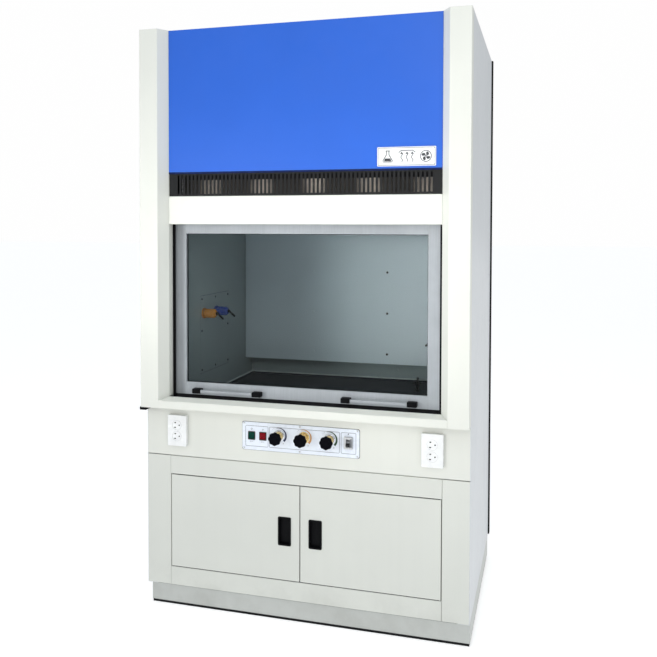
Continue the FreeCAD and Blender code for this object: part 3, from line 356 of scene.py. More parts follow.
# painted shade: the plate's edges darkened by a dark edge colour, and its corners strongly by the occlusion mask
M_PLATE = enamel("plate_enamel", (0.83, 0.88, 0.97), rough=0.28, var=0.02, streak=0.01, peel=0.06, crevice_and_low_col=(0.25, 0.26, 0.28), crevice_shade_amt=0.6, darken_low=False, edge_col=(0.45, 0.46, 0.48))
M_TRAY = enamel("lamp_tray_enamel", (0.66, 0.68, 0.67), rough=0.5, darken_low=False)
# painted shade: the frame's colour ramp darkens the left stile
M_ALU = metal("sash_aluminium", (0.44, 0.465, 0.495), rough=0.55, brush=(420.0, 420.0, 7.0), bump=0.10, aniso=0.0, metallic=0.35, painted_light_ramp=(-0.470, -0.445, 0.62))
M_ALU_X = metal("sash_aluminium_rail", (0.40, 0.42, 0.45), rough=0.50, brush=(7.0, 420.0, 420.0), bump=0.10, aniso=0.0, metallic=0.35)
M_STEEL = metal("zinc_steel", (0.62, 0.63, 0.64), rough=0.24, tarnish=(0.30, 0.29, 0.27))
M_CHROME = metal("chrome", (0.86, 0.87, 0.90), rough=0.16, var=0.02, tarnish=(0.45, 0.45, 0.46), tarnish_amt=0.12, bump=0.02, metallic=0.8)
M_GALV = metal("galvanised_sheet", (0.66, 0.58, 0.50), rough=0.26, tarnish=(0.30, 0.27, 0.24), tarnish_amt=0.3)
M_DUCT = metal("duct_galvanised", (0.56, 0.57, 0.57), rough=0.36, tarnish=(0.36, 0.36, 0.35), tarnish_amt=0.3)
M_BRASS = metal("valve_brass", (0.98, 0.74, 0.34), rough=0.24, tarnish=(0.62, 0.42, 0.16), tarnish_amt=0.15, bump=0.03, metallic=0.72)
M_BRASS2 = metal("plain_brass", (0.72, 0.52, 0.24), rough=0.30, tarnish=(0.26, 0.16, 0.07), tarnish_amt=0.45)
M_COPPER = metal("copper_pipe", (0.72, 0.40, 0.26), rough=0.32, tarnish=(0.24, 0.11, 0.07), tarnish_amt=0.5)
M_DKSTEEL = metal("blackened_steel", (0.06, 0.06, 0.062), rough=0.42, tarnish=(0.02, 0.02, 0.02))
M_LINER = phenolic("phenolic_liner", (0.325, 0.370, 0.385), rough=0.42)
# painted light: the baffle lightens towards its right-hand side
M_BAFFLE = phenolic("phenolic_baffle", (0.57, 0.63, 0.70), rough=0.42, painted_light_ramp=(-0.20, 0.50, (0.82, 0.85, 0.93)))
M_TOP = phenolic("phenolic_top", (0.0075, 0.0115, 0.020), rough=0.50, speck=(0.05, 0.055, 0.06), spec=0.10)
M_SINK = plastic("sink_polypropylene", (0.012, 0.013, 0.014), rough=0.45, spec=0.25, edge_gain=0.01, dust=0.0)
M_GLASS = thin_glass("sash_glass")
M_LWIN = frosted("lamp_window_glass")
M_OPAL = plastic("opal_tube", (0.88, 0.90, 0.92), rough=0.2, grain_amt=0.01, dust=0.05)
M_RUBBER = rubber("black_rubber")
M_GREYSEAL = plastic("grey_sealant", (0.50, 0.53, 0.53), rough=0.5, grain_amt=0.05, dust=0.05)
M_BLKPL = plastic("black_plastic", (0.004, 0.004, 0.005), rough=0.45, edge_gain=0.005, dust=0.004, spec=0.07)
M_KNOB = plastic("knob_plastic", (0.0022, 0.0022, 0.0042), rough=0.42, edge_gain=0.003, dust=0.002, spec=0.03)
M_CASE = plastic("switch_case", (0.52, 0.53, 0.55), rough=0.34)
M_CASEGREY = plastic("switch_case_grey", (0.22, 0.23, 0.25), rough=0.45)
M_CASEDK = plastic("switch_case_dark", (0.012, 0.014, 0.014), rough=0.35, edge_gain=0.02, spec=0.25, dust=0.0)
M_GREEN = plastic("green_plastic", (0.001, 0.045, 0.030), rough=0.20, edge_gain=0.01, grain_amt=0.02, dust=0.0, spec=0.10)
M_RED = plastic("red_plastic", (0.20, 0.001, 0.006), rough=0.20, edge_gain=0.01, grain_amt=0.02, dust=0.0, spec=0.10)
M_WPL = plastic("white_plastic", (0.90, 0.905, 0.91), rough=0.22, edge_gain=0.02, dust=0.02, grain_amt=0.03)
M_NYLON = plastic("pulley_nylon", (0.72, 0.70, 0.62), rough=0.4)
M_CAST = plastic("cast_weight", (0.045, 0.045, 0.048), rough=0.6, grain=260.0, grain_amt=0.55, var=0.25)
M_ORANGE = plastic("gas_orange", (0.62, 0.24, 0.035), rough=0.25, coat=0.3, dust=0.02)
M_BLUEP = plastic("air_blue", (0.020, 0.055, 0.32), rough=0.25, coat=0.3, dust=0.02, edge_gain=0.03)
M_GREENP = plastic("water_green", (0.02, 0.20, 0.09), rough=0.25, coat=0.3, dust=0.02, edge_gain=0.03)
M_INK_DK = enamel("ink_dark", (0.045, 0.047, 0.053), rough=0.5, var=0.2, darken_low=False, edge_col=(0.06, 0.06, 0.07), spec=0.3)
M_INK_GREY = enamel("ink_grey", (0.17, 0.19, 0.24), rough=0.5, var=0.12, darken_low=False)
M_INK_BLUE = enamel("ink_navy", (0.010, 0.018, 0.085), rough=0.45, var=0.2, darken_low=False, edge_col=(0.02, 0.04, 0.12), spec=0.3)
M_INK_ORANGE = enamel("ink_orange", (0.62, 0.30, 0.10), rough=0.45, var=0.1, darken_low=False)
M_INK_GREEN = enamel("ink_green", (0.014, 0.065, 0.026), rough=0.45, var=0.2, darken_low=False, edge_col=(0.03, 0.10, 0.05), spec=0.3)



def split_plastic(name, axis, at, below, above, rough=0.36):
    """Moulded plastic in two colours, parted across one axis of the part."""
    m = Mat(name, spec=0.3)
    k = m.map(m.xyz()[axis], at - 0.0001, at + 0.0001, 0.0, 1.0)
    c = m.mix(k, below, above)
    c = m.mix(m.map(m.noise(60.0, 3, 0.6), 0.45, 0.75, 0.0, 0.12), c, (0.20, 0.20, 0.20))
    nrm, edge = m.edge(0.0005)
    c = m.mix(m.math("MULTIPLY", edge, 0.15), c, (0.5, 0.5, 0.5))
    # painted shade: crevices darkened nearly to black by the occlusion mask
    c = m.mix(m.math("MULTIPLY", m.crevice(0.004), 0.5), c, (0.01, 0.01, 0.01))
    r = m.map(m.noise(150.0, 2, 0.5), 0.3, 0.7, rough - 0.05, rough + 0.06)
    return m.done(c, r, m.bump(m.noise(900.0, 2, 0.5), 0.06, 0.0002, nrm))


M_SWITCHES = split_plastic("switch_housings", 0, 0.10, (0.010, 0.012, 0.012), (0.62, 0.63, 0.65))
M_LEVER = split_plastic("breaker_lever", 1, -0.395 - 0.0095, (0.010, 0.010, 0.011), (0.30, 0.31, 0.33))


def sheet_with_painted_glints(name, pitch, phase):
    """Mill-finish sheet, dark and bright by turns in even bands along its length: painted highlights, standing in for
    reflections off ripples.
    """
    m = Mat(name, metallic=0.25, spec=0.4)
    turn = m.math("ADD", m.math("MULTIPLY", m.xyz()[0], 2 * math.pi / pitch), phase)
    k = m.map(m.math("COSINE", turn), -0.1, 1.0, 0.06, 1.0, True)
    k = m.math("MULTIPLY", k, m.map(m.noise(7.0, 3, 0.6), 0.35, 0.65, 0.55, 1.0))
    # painted highlights: the colour swings from near black to bright copper in bands along x
    c = m.mix(k, (0.025, 0.022, 0.020), (1.0, 0.88, 0.77))
    c = m.mix(m.map(m.noise(1.0, 3, 0.6, vec=m.scaled((160.0, 160.0, 6.0))), 0.35, 0.7, 0.0, 0.35), c, (0.02, 0.02, 0.02))
    r = m.map(m.noise(40.0, 3, 0.6), 0.3, 0.7, 0.30, 0.45)
    return m.done(c, r, m.bump(m.noise(220.0, 3, 0.6), 0.08, 0.0003))


M_GLINT_BANDS = sheet_with_painted_glints("bypass_sheet_painted_glints", 0.2, -1.2)

CAD_MATS = {
    "plinth": M_PLINTH_SHADED, "floor_and_wall_seals": M_RUBBER, "levelling_feet": M_STEEL, "cabinet_carcass": M_SIDE_SHADED,
    "cabinet_face_frame": M_BASE_SHADED, "cabinet_shelf": M_WHITE_IN, "hinge_pins_and_catches": M_STEEL,
    "left_door": M_BASE_SHADED, "right_door": M_BASE_SHADED, "left_door_pull": M_BLKPL, "right_door_pull": M_BLKPL,
    "apron_panel": M_WHITE, "control_plate": M_PLATE, "socket_outlets": M_WPL, "valve_bodies": M_BRASS,
    "air_knob": M_KNOB, "gas_knob": M_KNOB, "water_knob": M_KNOB, "light_rocker": M_GREEN, "blower_rocker": M_RED,
    "switch_bodies": M_SWITCHES, "breaker_lever": M_LEVER, "right_post": M_WHITE, "left_post": M_WHITE,
    "front_sill": M_WHITE, "header_valance": M_WHITE, "bypass_grille": M_BLACK, "upper_front_panel": M_BLUE,
    "label_plate": M_WPL, "side_panels": M_SIDE_SHADED, "rear_panel": M_WHITE_IN, "roof_panel": M_WHITE_IN,
    "exhaust_collar": M_DUCT, "worktop": M_TOP, "cup_sink": M_SINK, "left_liner": M_LINER, "right_liner": M_LINER,
    "rear_baffle": M_BAFFLE, "chamber_ceiling": M_TRAY, "lamp_window": M_LWIN, "lamp_tube": M_OPAL,
    "gas_outlet": M_ORANGE, "air_outlet": M_BLUEP, "water_outlet": M_GREENP, "service_nozzles": M_BLKPL,
    "service_pipes": M_COPPER, "rear_connections": M_BRASS2, "sash_frame": M_ALU, "sash_glass": M_GLASS,
    "sash_bumper": M_RUBBER, "sash_grips": M_ALU_X, "sash_grip_mounts": M_BLKPL, "sash_guides": M_BLKPL,
    "left_counterweight": M_CAST, "right_counterweight": M_CAST, "left_pulley": M_NYLON, "right_pulley": M_NYLON,
    "pulley_axles": M_STEEL, "sash_cables": M_STEEL, "panel_screws": M_STEEL,
}
for name, o in NODES.items():
    m = CAD_MATS[name]
    o.data.materials.clear()
    o.data.materials.append(m)


# ------------------------------------------------------------- mesh helpers
def obj_from(bm, name, mats, angle=32.0):
    bmesh.ops.recalc_face_normals(bm, faces=bm.faces)
    me = bpy.data.meshes.new(name)
    bm.to_mesh(me)
    bm.free()
    for mt in mats if isinstance(mats, (list, tuple)) else [mats]:
        me.materials.append(mt)
    me.polygons.foreach_set("use_smooth", [True] * len(me.polygons))
    me.set_sharp_from_angle(angle=math.radians(angle))
    o = bpy.data.objects.new(name, me)
    bpy.context.scene.collection.objects.link(o)
    return o


def place(o, body, slot, *replaces):
    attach(o, body)
    if replaces:
        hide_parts(*replaces)
    return o


def frame_of(d):
    """Two unit vectors square to d."""
    d = d.normalized()
    a = Vector((1, 0, 0)) if abs(d.z) > 0.9 else Vector((0, 0, 1))
    u = a.cross(d).normalized()
    return u, d.cross(u).normalized()


def lathe(bm, origin, d, profile, seg=48, shape=None, mat=0, phase=0.0):
    """Revolves (radius, distance along d) points about d. shape(theta) scales the radius at a ring where its third entry says so."""
    d = Vector(d).normalized()
    u, v = frame_of(d)
    rings = []
    for row in profile:
        r, h = row[0], row[1]
        k = row[2] if len(row) > 2 else 0.0
        if r < 1e-7:
            rings.append([bm.verts.new(Vector(origin) + d * h)])
            continue
        ring = []
        for i in range(seg):
            t = 2 * math.pi * i / seg + phase
            rr = r * ((1 - k) + k * shape(t)) if shape and k else r
            ring.append(bm.verts.new(Vector(origin) + d * h + (u * math.cos(t) + v * math.sin(t)) * rr))
        rings.append(ring)
    for a, b in zip(rings, rings[1:]):
        if len(a) == 1 and len(b) == 1:
            continue
        if len(a) == 1 or len(b) == 1:
            one, ring = (a[0], b) if len(a) == 1 else (b[0], a)
            for i in range(seg):
                f = bm.faces.new((one, ring[i], ring[(i + 1) % seg]))
                f.material_index = mat
        else:
            for i in range(seg):
                f = bm.faces.new((a[i], a[(i + 1) % seg], b[(i + 1) % seg], b[i]))
                f.material_index = mat
    for ring in (rings[0], rings[-1]):
        if len(ring) > 1 and profile[0][:2] != profile[-1][:2]:
            bm.faces.new(ring).material_index = mat
    if profile[0][:2] == profile[-1][:2] and len(rings[0]) > 1:
        bmesh.ops.remove_doubles(bm, verts=rings[0] + rings[-1], dist=1e-7)


def hexf(t):
    """Radius of a hexagon with unit corner radius, at angle t."""
    a = (t % (math.pi / 3)) - math.pi / 6
    return math.cos(math.pi / 6) / math.cos(a)


def rrect(x0, z0, x1, z1, r, n=6):
    """Rounded rectangle outline, counter-clockwise."""
    pts = []
    for cx, cz, a0 in ((x1 - r, z0 + r, -90), (x1 - r, z1 - r, 0), (x0 + r, z1 - r, 90), (x0 + r, z0 + r, 180)):
        for i in range(n + 1):
            a = math.radians(a0 + 90 * i / n)
            pts.append((cx + r * math.cos(a), cz + r * math.sin(a)))
    return pts


def circle(cx, cz, r, n=32, a0=0.0):
    return [(cx + r * math.cos(2 * math.pi * i / n + a0), cz + r * math.sin(2 * math.pi * i / n + a0)) for i in range(n)]


def slab(bm, outline, y_front, depth, mat=0, chamfer=0.0):
    """Solid of an (x, z) outline from y_front back by depth, its front edge chamfered."""
    n = len(outline)
    cx = sum(p[0] for p in outline) / n
    cz = sum(p[1] for p in outline) / n
    levels = [(y_front + depth, 0.0)]
    if chamfer:
        levels += [(y_front + chamfer, 0.0), (y_front, chamfer)]
    else:
        levels += [(y_front, 0.0)]
    rings = []
    for y, inset in levels:
        ring = []
        for i, (x, z) in enumerate(outline):
            if inset:
                px, pz = outline[i - 1]
                nx, nz = outline[(i + 1) % n]
                tx, tz = nx - px, nz - pz
                l = math.hypot(tx, tz) or 1.0
                x, z = x - tz / l * inset, z + tx / l * inset
            ring.append(bm.verts.new((x, y, z)))
        rings.append(ring)
    for a, b in zip(rings, rings[1:]):
        for i in range(n):
            bm.faces.new((a[i], a[(i + 1) % n], b[(i + 1) % n], b[i])).material_index = mat
    bm.faces.new(rings[0][::-1]).material_index = mat
    bm.faces.new(rings[-1]).material_index = mat


def ring_slab(bm, outer, inner, y_front, depth, mat=0):
    """Solid frame between two outlines with the same number of points."""
    n = len(outer)
    v = [[bm.verts.new((x, y, z)) for x, z in o] for o, y in ((outer, y_front), (inner, y_front), (inner, y_front + depth), (outer, y_front + depth))]
    for a, b in ((0, 1), (1, 2), (2, 3), (3, 0)):
        for i in range(n):
            bm.faces.new((v[a][i], v[a][(i + 1) % n], v[b][(i + 1) % n], v[b][i])).material_index = mat


def stroke(bm, pts, w, y_front, depth, mat=0, closed=False):
    """A printed line of width w along (x, z) points, as a thin solid."""
    n = len(pts)
    left, right = [], []
    for i, p in enumerate(pts):
        a = pts[i - 1] if (i > 0 or closed) else p
        b = pts[(i + 1) % n] if (i < n - 1 or closed) else p
        tx, tz = b[0] - a[0], b[1] - a[1]
        l = math.hypot(tx, tz) or 1.0
        nx, nz = -tz / l * w / 2, tx / l * w / 2
        left.append((p[0] + nx, p[1] + nz))
        right.append((p[0] - nx, p[1] - nz))
    if closed:
        ring_slab(bm, left, right, y_front, depth, mat)
    else:
        slab(bm, left + right[::-1], y_front, depth, mat)


def rbox(bm, lo, hi, r=0.001, seg=3, mat=0):
    """A block with rounded edges."""
    lo, hi = Vector(lo), Vector(hi)
    made = bmesh.ops.create_cube(bm, size=1.0)
    for v in made["verts"]:
        v.co = Vector(((lo[i] + hi[i]) / 2 + v.co[i] * (hi[i] - lo[i]) for i in range(3)))
    edges = list({e for v in made["verts"] for e in v.link_edges})
    res = bmesh.ops.bevel(bm, geom=edges, offset=r, segments=seg, profile=0.5, affect="EDGES", clamp_overlap=True)
    faces = set(res["faces"]) | {f for v in made["verts"] if v.is_valid for f in v.link_faces}
    for f in faces:
        f.material_index = mat
    return faces


def extrude(bm, prof, axis, a, b, mat=0):
    """Closed profile of the two other coordinates, in x-y-z order, run along one axis."""
    rings = []
    for t in (a, b):
        ring = []
        for p, q in prof:
            co = [p, q]
            co.insert(axis, t)
            ring.append(bm.verts.new(co))
        rings.append(ring)
    n = len(prof)
    for i in range(n):
        bm.faces.new((rings[0][i], rings[0][(i + 1) % n], rings[1][(i + 1) % n], rings[1][i])).material_index = mat
    bm.faces.new(rings[0][::-1]).material_index = mat
    bm.faces.new(rings[1]).material_index = mat


def crossf(t):
    """Radius of a cross recess with unit tips."""
    return 0.32 + 0.68 * abs(math.cos(2 * t)) ** 6


def pan_head(bm, p, d, r, h, mat=0):
    """Pan-head screw with a cross recess."""
    lathe(bm, p, d, [(0.0, -0.0004), (r, -0.0004), (r, h * 0.25), (r * 0.985, h * 0.45), (r * 0.93, h * 0.68), (r * 0.82, h * 0.86), (r * 0.68, h * 0.97), (r * 0.60, h, 1.0), (r * 0.56, h * 0.98, 1.0), (r * 0.42, h * 0.45, 1.0), (0.0, h * 0.30)], seg=32, shape=crossf, mat=mat)


# ------------------------------------------------------------- control panel
CP_LO, CP_HI = B("control_plate")
PF = CP_LO.y                      # plate's front face
INK = 0.00016
KN = {n: B(n + "_knob") for n in ("air", "gas", "water")}
AX = {n: ((KN[n][0].x + KN[n][1].x) / 2, (KN[n][0].z + KN[n][1].z) / 2) for n in KN}
KR = (KN["air"][1].x - KN["air"][0].x) / 2
KFRONT = KN["air"][0].y


def lobes(t):
    return (22.85 + 1.15 * math.cos(8 * t)) / 24.0


for n, body in (("air", "air_valve"), ("gas", "gas_valve"), ("water", "water_valve")):
    cx, cz = AX[n]
    bm = bmesh.new()
    o = (cx, KFRONT, cz)
    prof = [(KR * 0.17, 0.0149), (KR * 0.40, 0.0149), (KR * 0.415, 0.0146), (KR * 0.415, 0.0112), (KR * 0.44, 0.0104), (KR * 0.78, 0.0104, 0.6), (KR * 0.80, 0.0110, 0.7), (KR * 0.955, 0.0110, 1.0), (KR * 0.985, 0.0107, 1.0), (KR, 0.0099, 1.0),
            (KR * 0.999, 0.0050, 1.0), (KR * 0.990, 0.0024, 1.0), (KR * 0.968, 0.0011, 0.98), (KR * 0.93, 0.0003, 0.94), (KR * 0.87, 0.0, 0.86),
            (KR * 0.64, 0.0, 0.10), (KR * 0.57, 0.0001), (KR * 0.545, 0.0005), (KR * 0.535, 0.0013), (KR * 0.505, 0.0014), (KR * 0.49, 0.0009), (KR * 0.46, 0.0006), (KR * 0.25, 0.0004), (0.0, 0.00035)]
    lathe(bm, o, (0, 1, 0), prof, seg=128, shape=lobes)
    k = obj_from(bm, n + "_knob_grip", M_KNOB, 40)
    place(k, body, "black_plastic", n + "_knob")
    # spindle
    bm = bmesh.new()
    lathe(bm, (cx, KFRONT + 0.0145, cz), (0, 1, 0), [(0.0, 0.0), (0.0036, 0.0), (0.0039, 0.0003), (0.0039, 0.0500), (0.0035, 0.0504), (0.0, 0.0504)], seg=32)
    s = obj_from(bm, n + "_knob_spindle", M_BRASS, 40)
    place(s, body, "valve_brass")
    # pointer rib moulded on the knob's face
    bm = bmesh.new()
    rbox(bm, (cx - 0.0007, KFRONT + 0.0001, cz + KR * 0.68), (cx + 0.0007, KFRONT + 0.0009, cz + KR * 0.88), 0.0003, 2)
    s = obj_from(bm, n + "_knob_pointer", M_KNOB, 40)
    place(s, body, "black_plastic")

# valve bodies: escutcheon, hexagon, collared stem, barrel behind the panel
bm = bmesh.new()
for n, (cx, cz) in AX.items():
    o = (cx, PF, cz)
    # distances forwards from the plate's front face
    lathe(bm, o, (0, -1, 0), [(0.0111, 0.0), (0.0210, 0.0), (0.0210, 0.0014), (0.0204, 0.0027), (0.0190, 0.0036), (0.0176, 0.0040), (0.0140, 0.0040), (0.0132, 0.0036), (0.0111, 0.0036), (0.0111, 0.0)], seg=72, mat=0 if n == "gas" else 1)
    hx = [(0.0042, 0.0040), (0.0120, 0.0040), (0.0148, 0.0042, 1.0), (0.0160, 0.0052, 1.0), (0.0160, 0.0156, 1.0), (0.0150, 0.0166, 0.7), (0.0136, 0.0170, 0.2), (0.0118, 0.0171)]
    st = [(0.0112, 0.0174), (0.0105, 0.0180), (0.0105, 0.0186)]
    y = 0.0186
    for i in range(3):
        st += [(0.0105, y), (0.0098, y + 0.0005), (0.0105, y + 0.0010)]
        y += 0.0011
    st += [(0.0105, 0.0226), (0.0118, 0.0230), (0.0127, 0.0238), (0.0130, 0.0250), (0.0130, 0.0282), (0.0127, 0.0292), (0.0118, 0.0299), (0.0104, 0.0302), (0.0102, 0.0340), (0.0097, 0.0352), (0.0086, 0.0358), (0.0070, 0.0360), (0.0042, 0.0360), (0.0042, 0.0040)]
    lathe(bm, o, (0, -1, 0), hx + st, seg=72, shape=hexf)
    # behind the plate
    lathe(bm, o, (0, 1, 0), [(0.0042, -0.003), (0.0107, -0.003), (0.0107, 0.0035), (0.0135, 0.004), (0.0150, 0.0052), (0.0150, 0.0425), (0.0138, 0.0438), (0.0086, 0.0440), (0.0085, 0.0578), (0.0042, 0.0578), (0.0042, -0.003)], seg=48)
    lathe(bm, (cx, PF + 0.024, cz), (0, 0, -1), [(0.0, 0.0120), (0.0085, 0.0125), (0.0085, 0.0272), (0.0080, 0.0279), (0.0, 0.0280)], seg=32)
v = obj_from(bm, "valve_stems_and_escutcheons", [M_BRASS, M_CHROME], 34)
place(v, "casing", "valve_brass", "valve_bodies")

# printed marks: tapered index arcs
for n, mt, slot in (("air", M_INK_BLUE, "air_blue"), ("gas", M_INK_ORANGE, "gas_orange"), ("water", M_INK_GREEN, "water_green")):
    cx, cz = AX[n]
    bm = bmesh.new()
    outer, inner = [], []
    N = 44
    for i in range(N + 1):
        t = i / N
        a = math.radians(112 - 158 * t)
        w = 0.0008 + 0.0066 * t ** 0.8
        outer.append((cx + 0.0290 * math.cos(a), cz + 0.0290 * math.sin(a)))
        inner.append((cx + (0.0290 - w) * math.cos(a), cz + (0.0290 - w) * math.sin(a)))
    slab(bm, outer + inner[::-1], PF - INK, INK * 0.98)
    c = obj_from(bm, n + "_index_arc", mt)
    place(c, "casing", slot)

SWB_LO, SWB_HI = B("switch_bodies")
RK = {n: mid(n) for n in ("light_rocker", "blower_rocker", "breaker_lever")}
bm = bmesh.new()
# outline boxes round the switches, the valves and the breaker
sx0, sx1 = RK["light_rocker"].x, RK["blower_rocker"].x
bkx = RK["breaker_lever"].x
for x0, z0, x1, z1 in ((CP_LO.x + 0.012, CP_LO.z + 0.013, sx1 + 0.0205, CP_HI.z - 0.013),
                       (sx1 + 0.0245, CP_LO.z + 0.013, bkx - 0.031, CP_HI.z - 0.013),
                       (bkx - 0.0265, CP_LO.z + 0.013, CP_HI.x - 0.012, CP_HI.z - 0.013)):
    ring_slab(bm, rrect(x0, z0, x1, z1, 0.005), rrect(x0 + 0.0013, z0 + 0.0013, x1 - 0.0013, z1 - 0.0013, 0.0037), PF - INK, INK * 0.98)
o = obj_from(bm, "panel_outline_print", M_INK_GREY)
place(o, "casing", "plate_enamel")

bm = bmesh.new()
Y0, DP = PF - INK, INK * 0.98
# lamp pictogram over the left switch
lx, lz = sx0, RK["light_rocker"].z + 0.0225
stroke(bm, circle(lx, lz + 0.0010, 0.0026, 20), 0.0007, Y0, DP, closed=True)
stroke(bm, [(lx - 0.0012, lz - 0.0023), (lx + 0.0012, lz - 0.0023)], 0.0007, Y0, DP)
# fan pictogram over the right switch
fx, fz = sx1, RK["blower_rocker"].z + 0.0225
for k in range(3):
    a = math.radians(90 + 120 * k)
    pts = [(fx + 0.0030 * t * math.cos(a + 0.7 * t) + 0, fz + 0.0030 * t * math.sin(a + 0.7 * t)) for t in (0.25, 0.5, 0.75, 1.0)]
    stroke(bm, pts, 0.0012, Y0, DP)
slab(bm, circle(fx, fz, 0.0007, 12), Y0, DP)
# on / off bars below both switches
for x in (sx0, sx1):
    zb = RK["light_rocker"].z - 0.0225
    stroke(bm, circle(x - 0.0035, zb, 0.0018, 18), 0.0006, Y0, DP, closed=True)
    stroke(bm, [(x + 0.0035, zb - 0.0020), (x + 0.0035, zb + 0.0020)], 0.0007, Y0, DP)
# small open / closed dots by each valve
for n, (cx, cz) in AX.items():
    for a, r in ((140, 0.0007), (128, 0.0009), (-60, 0.0014)):
        slab(bm, circle(cx + 0.0315 * math.cos(math.radians(a)), cz + 0.0315 * math.sin(math.radians(a)), r, 12), Y0, DP)
# mains flash mark over the breaker: a plain triangle
mx, mz = bkx, RK["breaker_lever"].z + 0.033
slab(bm, [(mx - 0.0026, mz - 0.002), (mx + 0.0026, mz - 0.002), (mx, mz + 0.0026)], Y0, DP)
o = obj_from(bm, "panel_pictogram_print", M_INK_DK)
place(o, "casing", "black_enamel")

# a thin black gasket round the plate: painted shade, a dark rim standing in for the shadow gap round the plate
bm = bmesh.new()
g = 0.0011
loops = []
for off, y in ((0.0, PF + 0.0011), (g * 0.7, PF + 0.0012), (g, PF + 0.0015), (g, PF + 0.00195), (-0.001, PF + 0.00195), (-0.001, PF + 0.0012)):
    loops.append([bm.verts.new((x, y, z)) for x, z in rrect(CP_LO.x - off, CP_LO.z - off, CP_HI.x + off, CP_HI.z + off, 0.0060 + off)])
for a, b in zip(loops, loops[1:] + loops[:1]):
    for i in range(len(a)):
        bm.faces.new((a[i], a[(i + 1) % len(a)], b[(i + 1) % len(a)], b[i]))
o = obj_from(bm, "panel_shade_gasket", M_RUBBER, 40)
place(o, "casing", "black_rubber")

# ribbed strip on the breaker's face
bm = bmesh.new()
bz, by = RK["light_rocker"].z, -0.395 - 0.009
prof = [(by + 0.0002, bz - 0.0150)]
for k in range(12):
    z = bz - 0.0150 + k * 0.0025
    prof += [(by - 0.0002, z + 0.0002), (by - 0.0012, z + 0.0006), (by - 0.0012, z + 0.0017), (by - 0.0002, z + 0.0021)]
prof += [(by + 0.0002, bz + 0.0150)]
extrude(bm, prof, 0, bkx + 0.0086, bkx + 0.0138)
o = obj_from(bm, "breaker_ribs", M_CASEGREY, 30)
place(o, "casing", "switch_case")

# fasteners
bm = bmesh.new()
for x in (CP_LO.x + 0.007, 0.0, CP_HI.x - 0.007):
    for z in (CP_LO.z + 0.0055, CP_HI.z - 0.0055):
        pan_head(bm, (x, PF, z), (0, -1, 0), 0.0034, 0.0018, 0)
LBL = B("label_plate")
for x in (LBL[0].x + 0.0055, LBL[1].x - 0.0055):
    for z in (LBL[0].z + 0.0055, LBL[1].z - 0.0055):
        pan_head(bm, (x, LBL[0].y, z), (0, -1, 0), 0.0016, 0.0009, 0)
for x in (-0.168, 0.168):
    for z in (0.873, 1.052, 1.232):
        pan_head(bm, (x, 0.325, z), (0, -1, 0), 0.0050, 0.0025, 1 if x > 0 else 2)
LIN = -B("left_liner")[1].x
for sg in (-1, 1):
    for y, z in ((0.254, 0.852), (0.254, 1.010), (0.254, 1.138), (0.385, 0.852), (0.385, 1.138), (0.516, 0.852), (0.516, 1.010), (0.516, 1.138)):
        pan_head(bm, (sg * LIN, y - 0.395, z), (-sg, 0, 0), 0.0042, 0.0022, 1)
    SO = B("socket_outlets")
    pan_head(bm, (sg * 0.473, SO[0].y + 0.0, 0.675), (0, -1, 0), 0.0026, 0.0002, 3)
o = obj_from(bm, "fasteners", [M_CHROME, M_DKSTEEL, M_BAFFLE, M_WPL], 34)
place(o, "casing", "steel", "panel_screws")

# contacts inside the sockets, dark and set back
bm = bmesh.new()
for sg in (-1, 1):
    cx, yy = sg * 0.473, SO[0].y
    for cz in (0.675 - 0.0205, 0.675 + 0.0205):
        for x0, z0, x1, z1 in ((cx - 0.0094, cz + 0.0071, cx - 0.0036, cz + 0.0109), (cx - 0.0104, cz - 0.0109, cx - 0.0041, cz - 0.0071)):
            loops = []
            for y, off in ((yy + 0.0060, 0.0), (yy + 0.0009, 0.0), (yy + 0.0005, 0.0004), (yy + 0.0005, 0.0012), (yy + 0.0030, 0.0013)):
                loops.append([bm.verts.new((x, y, z)) for x, z in rrect(x0 + off, z0 + off, x1 - off, z1 - off, 0.0004, 2)])
            for a, b in zip(loops, loops[1:]):
                for i in range(len(a)):
                    bm.faces.new((a[i], a[(i + 1) % len(a)], b[(i + 1) % len(a)], b[i]))
            bm.faces.new(loops[0][::-1])
            bm.faces.new(loops[-1])
        lathe(bm, (cx + 0.0095, yy, cz), (0, 1, 0), [(0.0, 0.0030), (0.0012, 0.0028), (0.0015, 0.0006), (0.0022, 0.0005), (0.0025, 0.0008), (0.0025, 0.0060), (0.0, 0.0062)], seg=24)
o = obj_from(bm, "socket_contacts", M_BLKPL, 40)
place(o, "casing", "black_plastic")

# seals round the access panels, a liner on the rear wall and a bead of sealant round the worktop
bm = bmesh.new()
for sg in (-1, 1):
    xa, xb = sg * (LIN + 0.0002), sg * (LIN + 0.0045)
    loops = []
    for off, x in ((0.0004, xa), (-0.0016, xa), (-0.0016, xb), (0.0004, xb)):
        loops.append([bm.verts.new((x, y, z)) for y, z in rrect(0.240 - 0.395 - off, 0.838 - off, 0.530 - 0.395 + off, 1.152 + off, 0.0010 + max(0.0, off), 2)])
    for a, b in zip(loops, loops[1:] + loops[:1]):
        for i in range(len(a)):
            bm.faces.new((a[i], a[(i + 1) % len(a)], b[(i + 1) % len(a)], b[i]))
o = obj_from(bm, "access_panel_seals", M_RUBBER, 40)
place(o, "casing", "black_rubber")

RB = B("rear_baffle")
bm = bmesh.new()
rbox(bm, (-LIN + 0.0012, RB[1].y - 0.0030, 0.7525), (LIN - 0.0012, RB[1].y - 0.0004, 1.552), 0.0008, 2)
for k in range(5):
    x = -0.40 + 0.20 * k
    lathe(bm, (x, RB[1].y - 0.0030, 0.790), (0, -1, 0), [(0.0, -0.0004), (0.0060, -0.0004), (0.0060, 0.0008), (0.0052, 0.0016), (0.0, 0.0019)], seg=28)
o = obj_from(bm, "rear_wall_liner", M_LINER, 40)
place(o, "casing", "phenolic_liner")

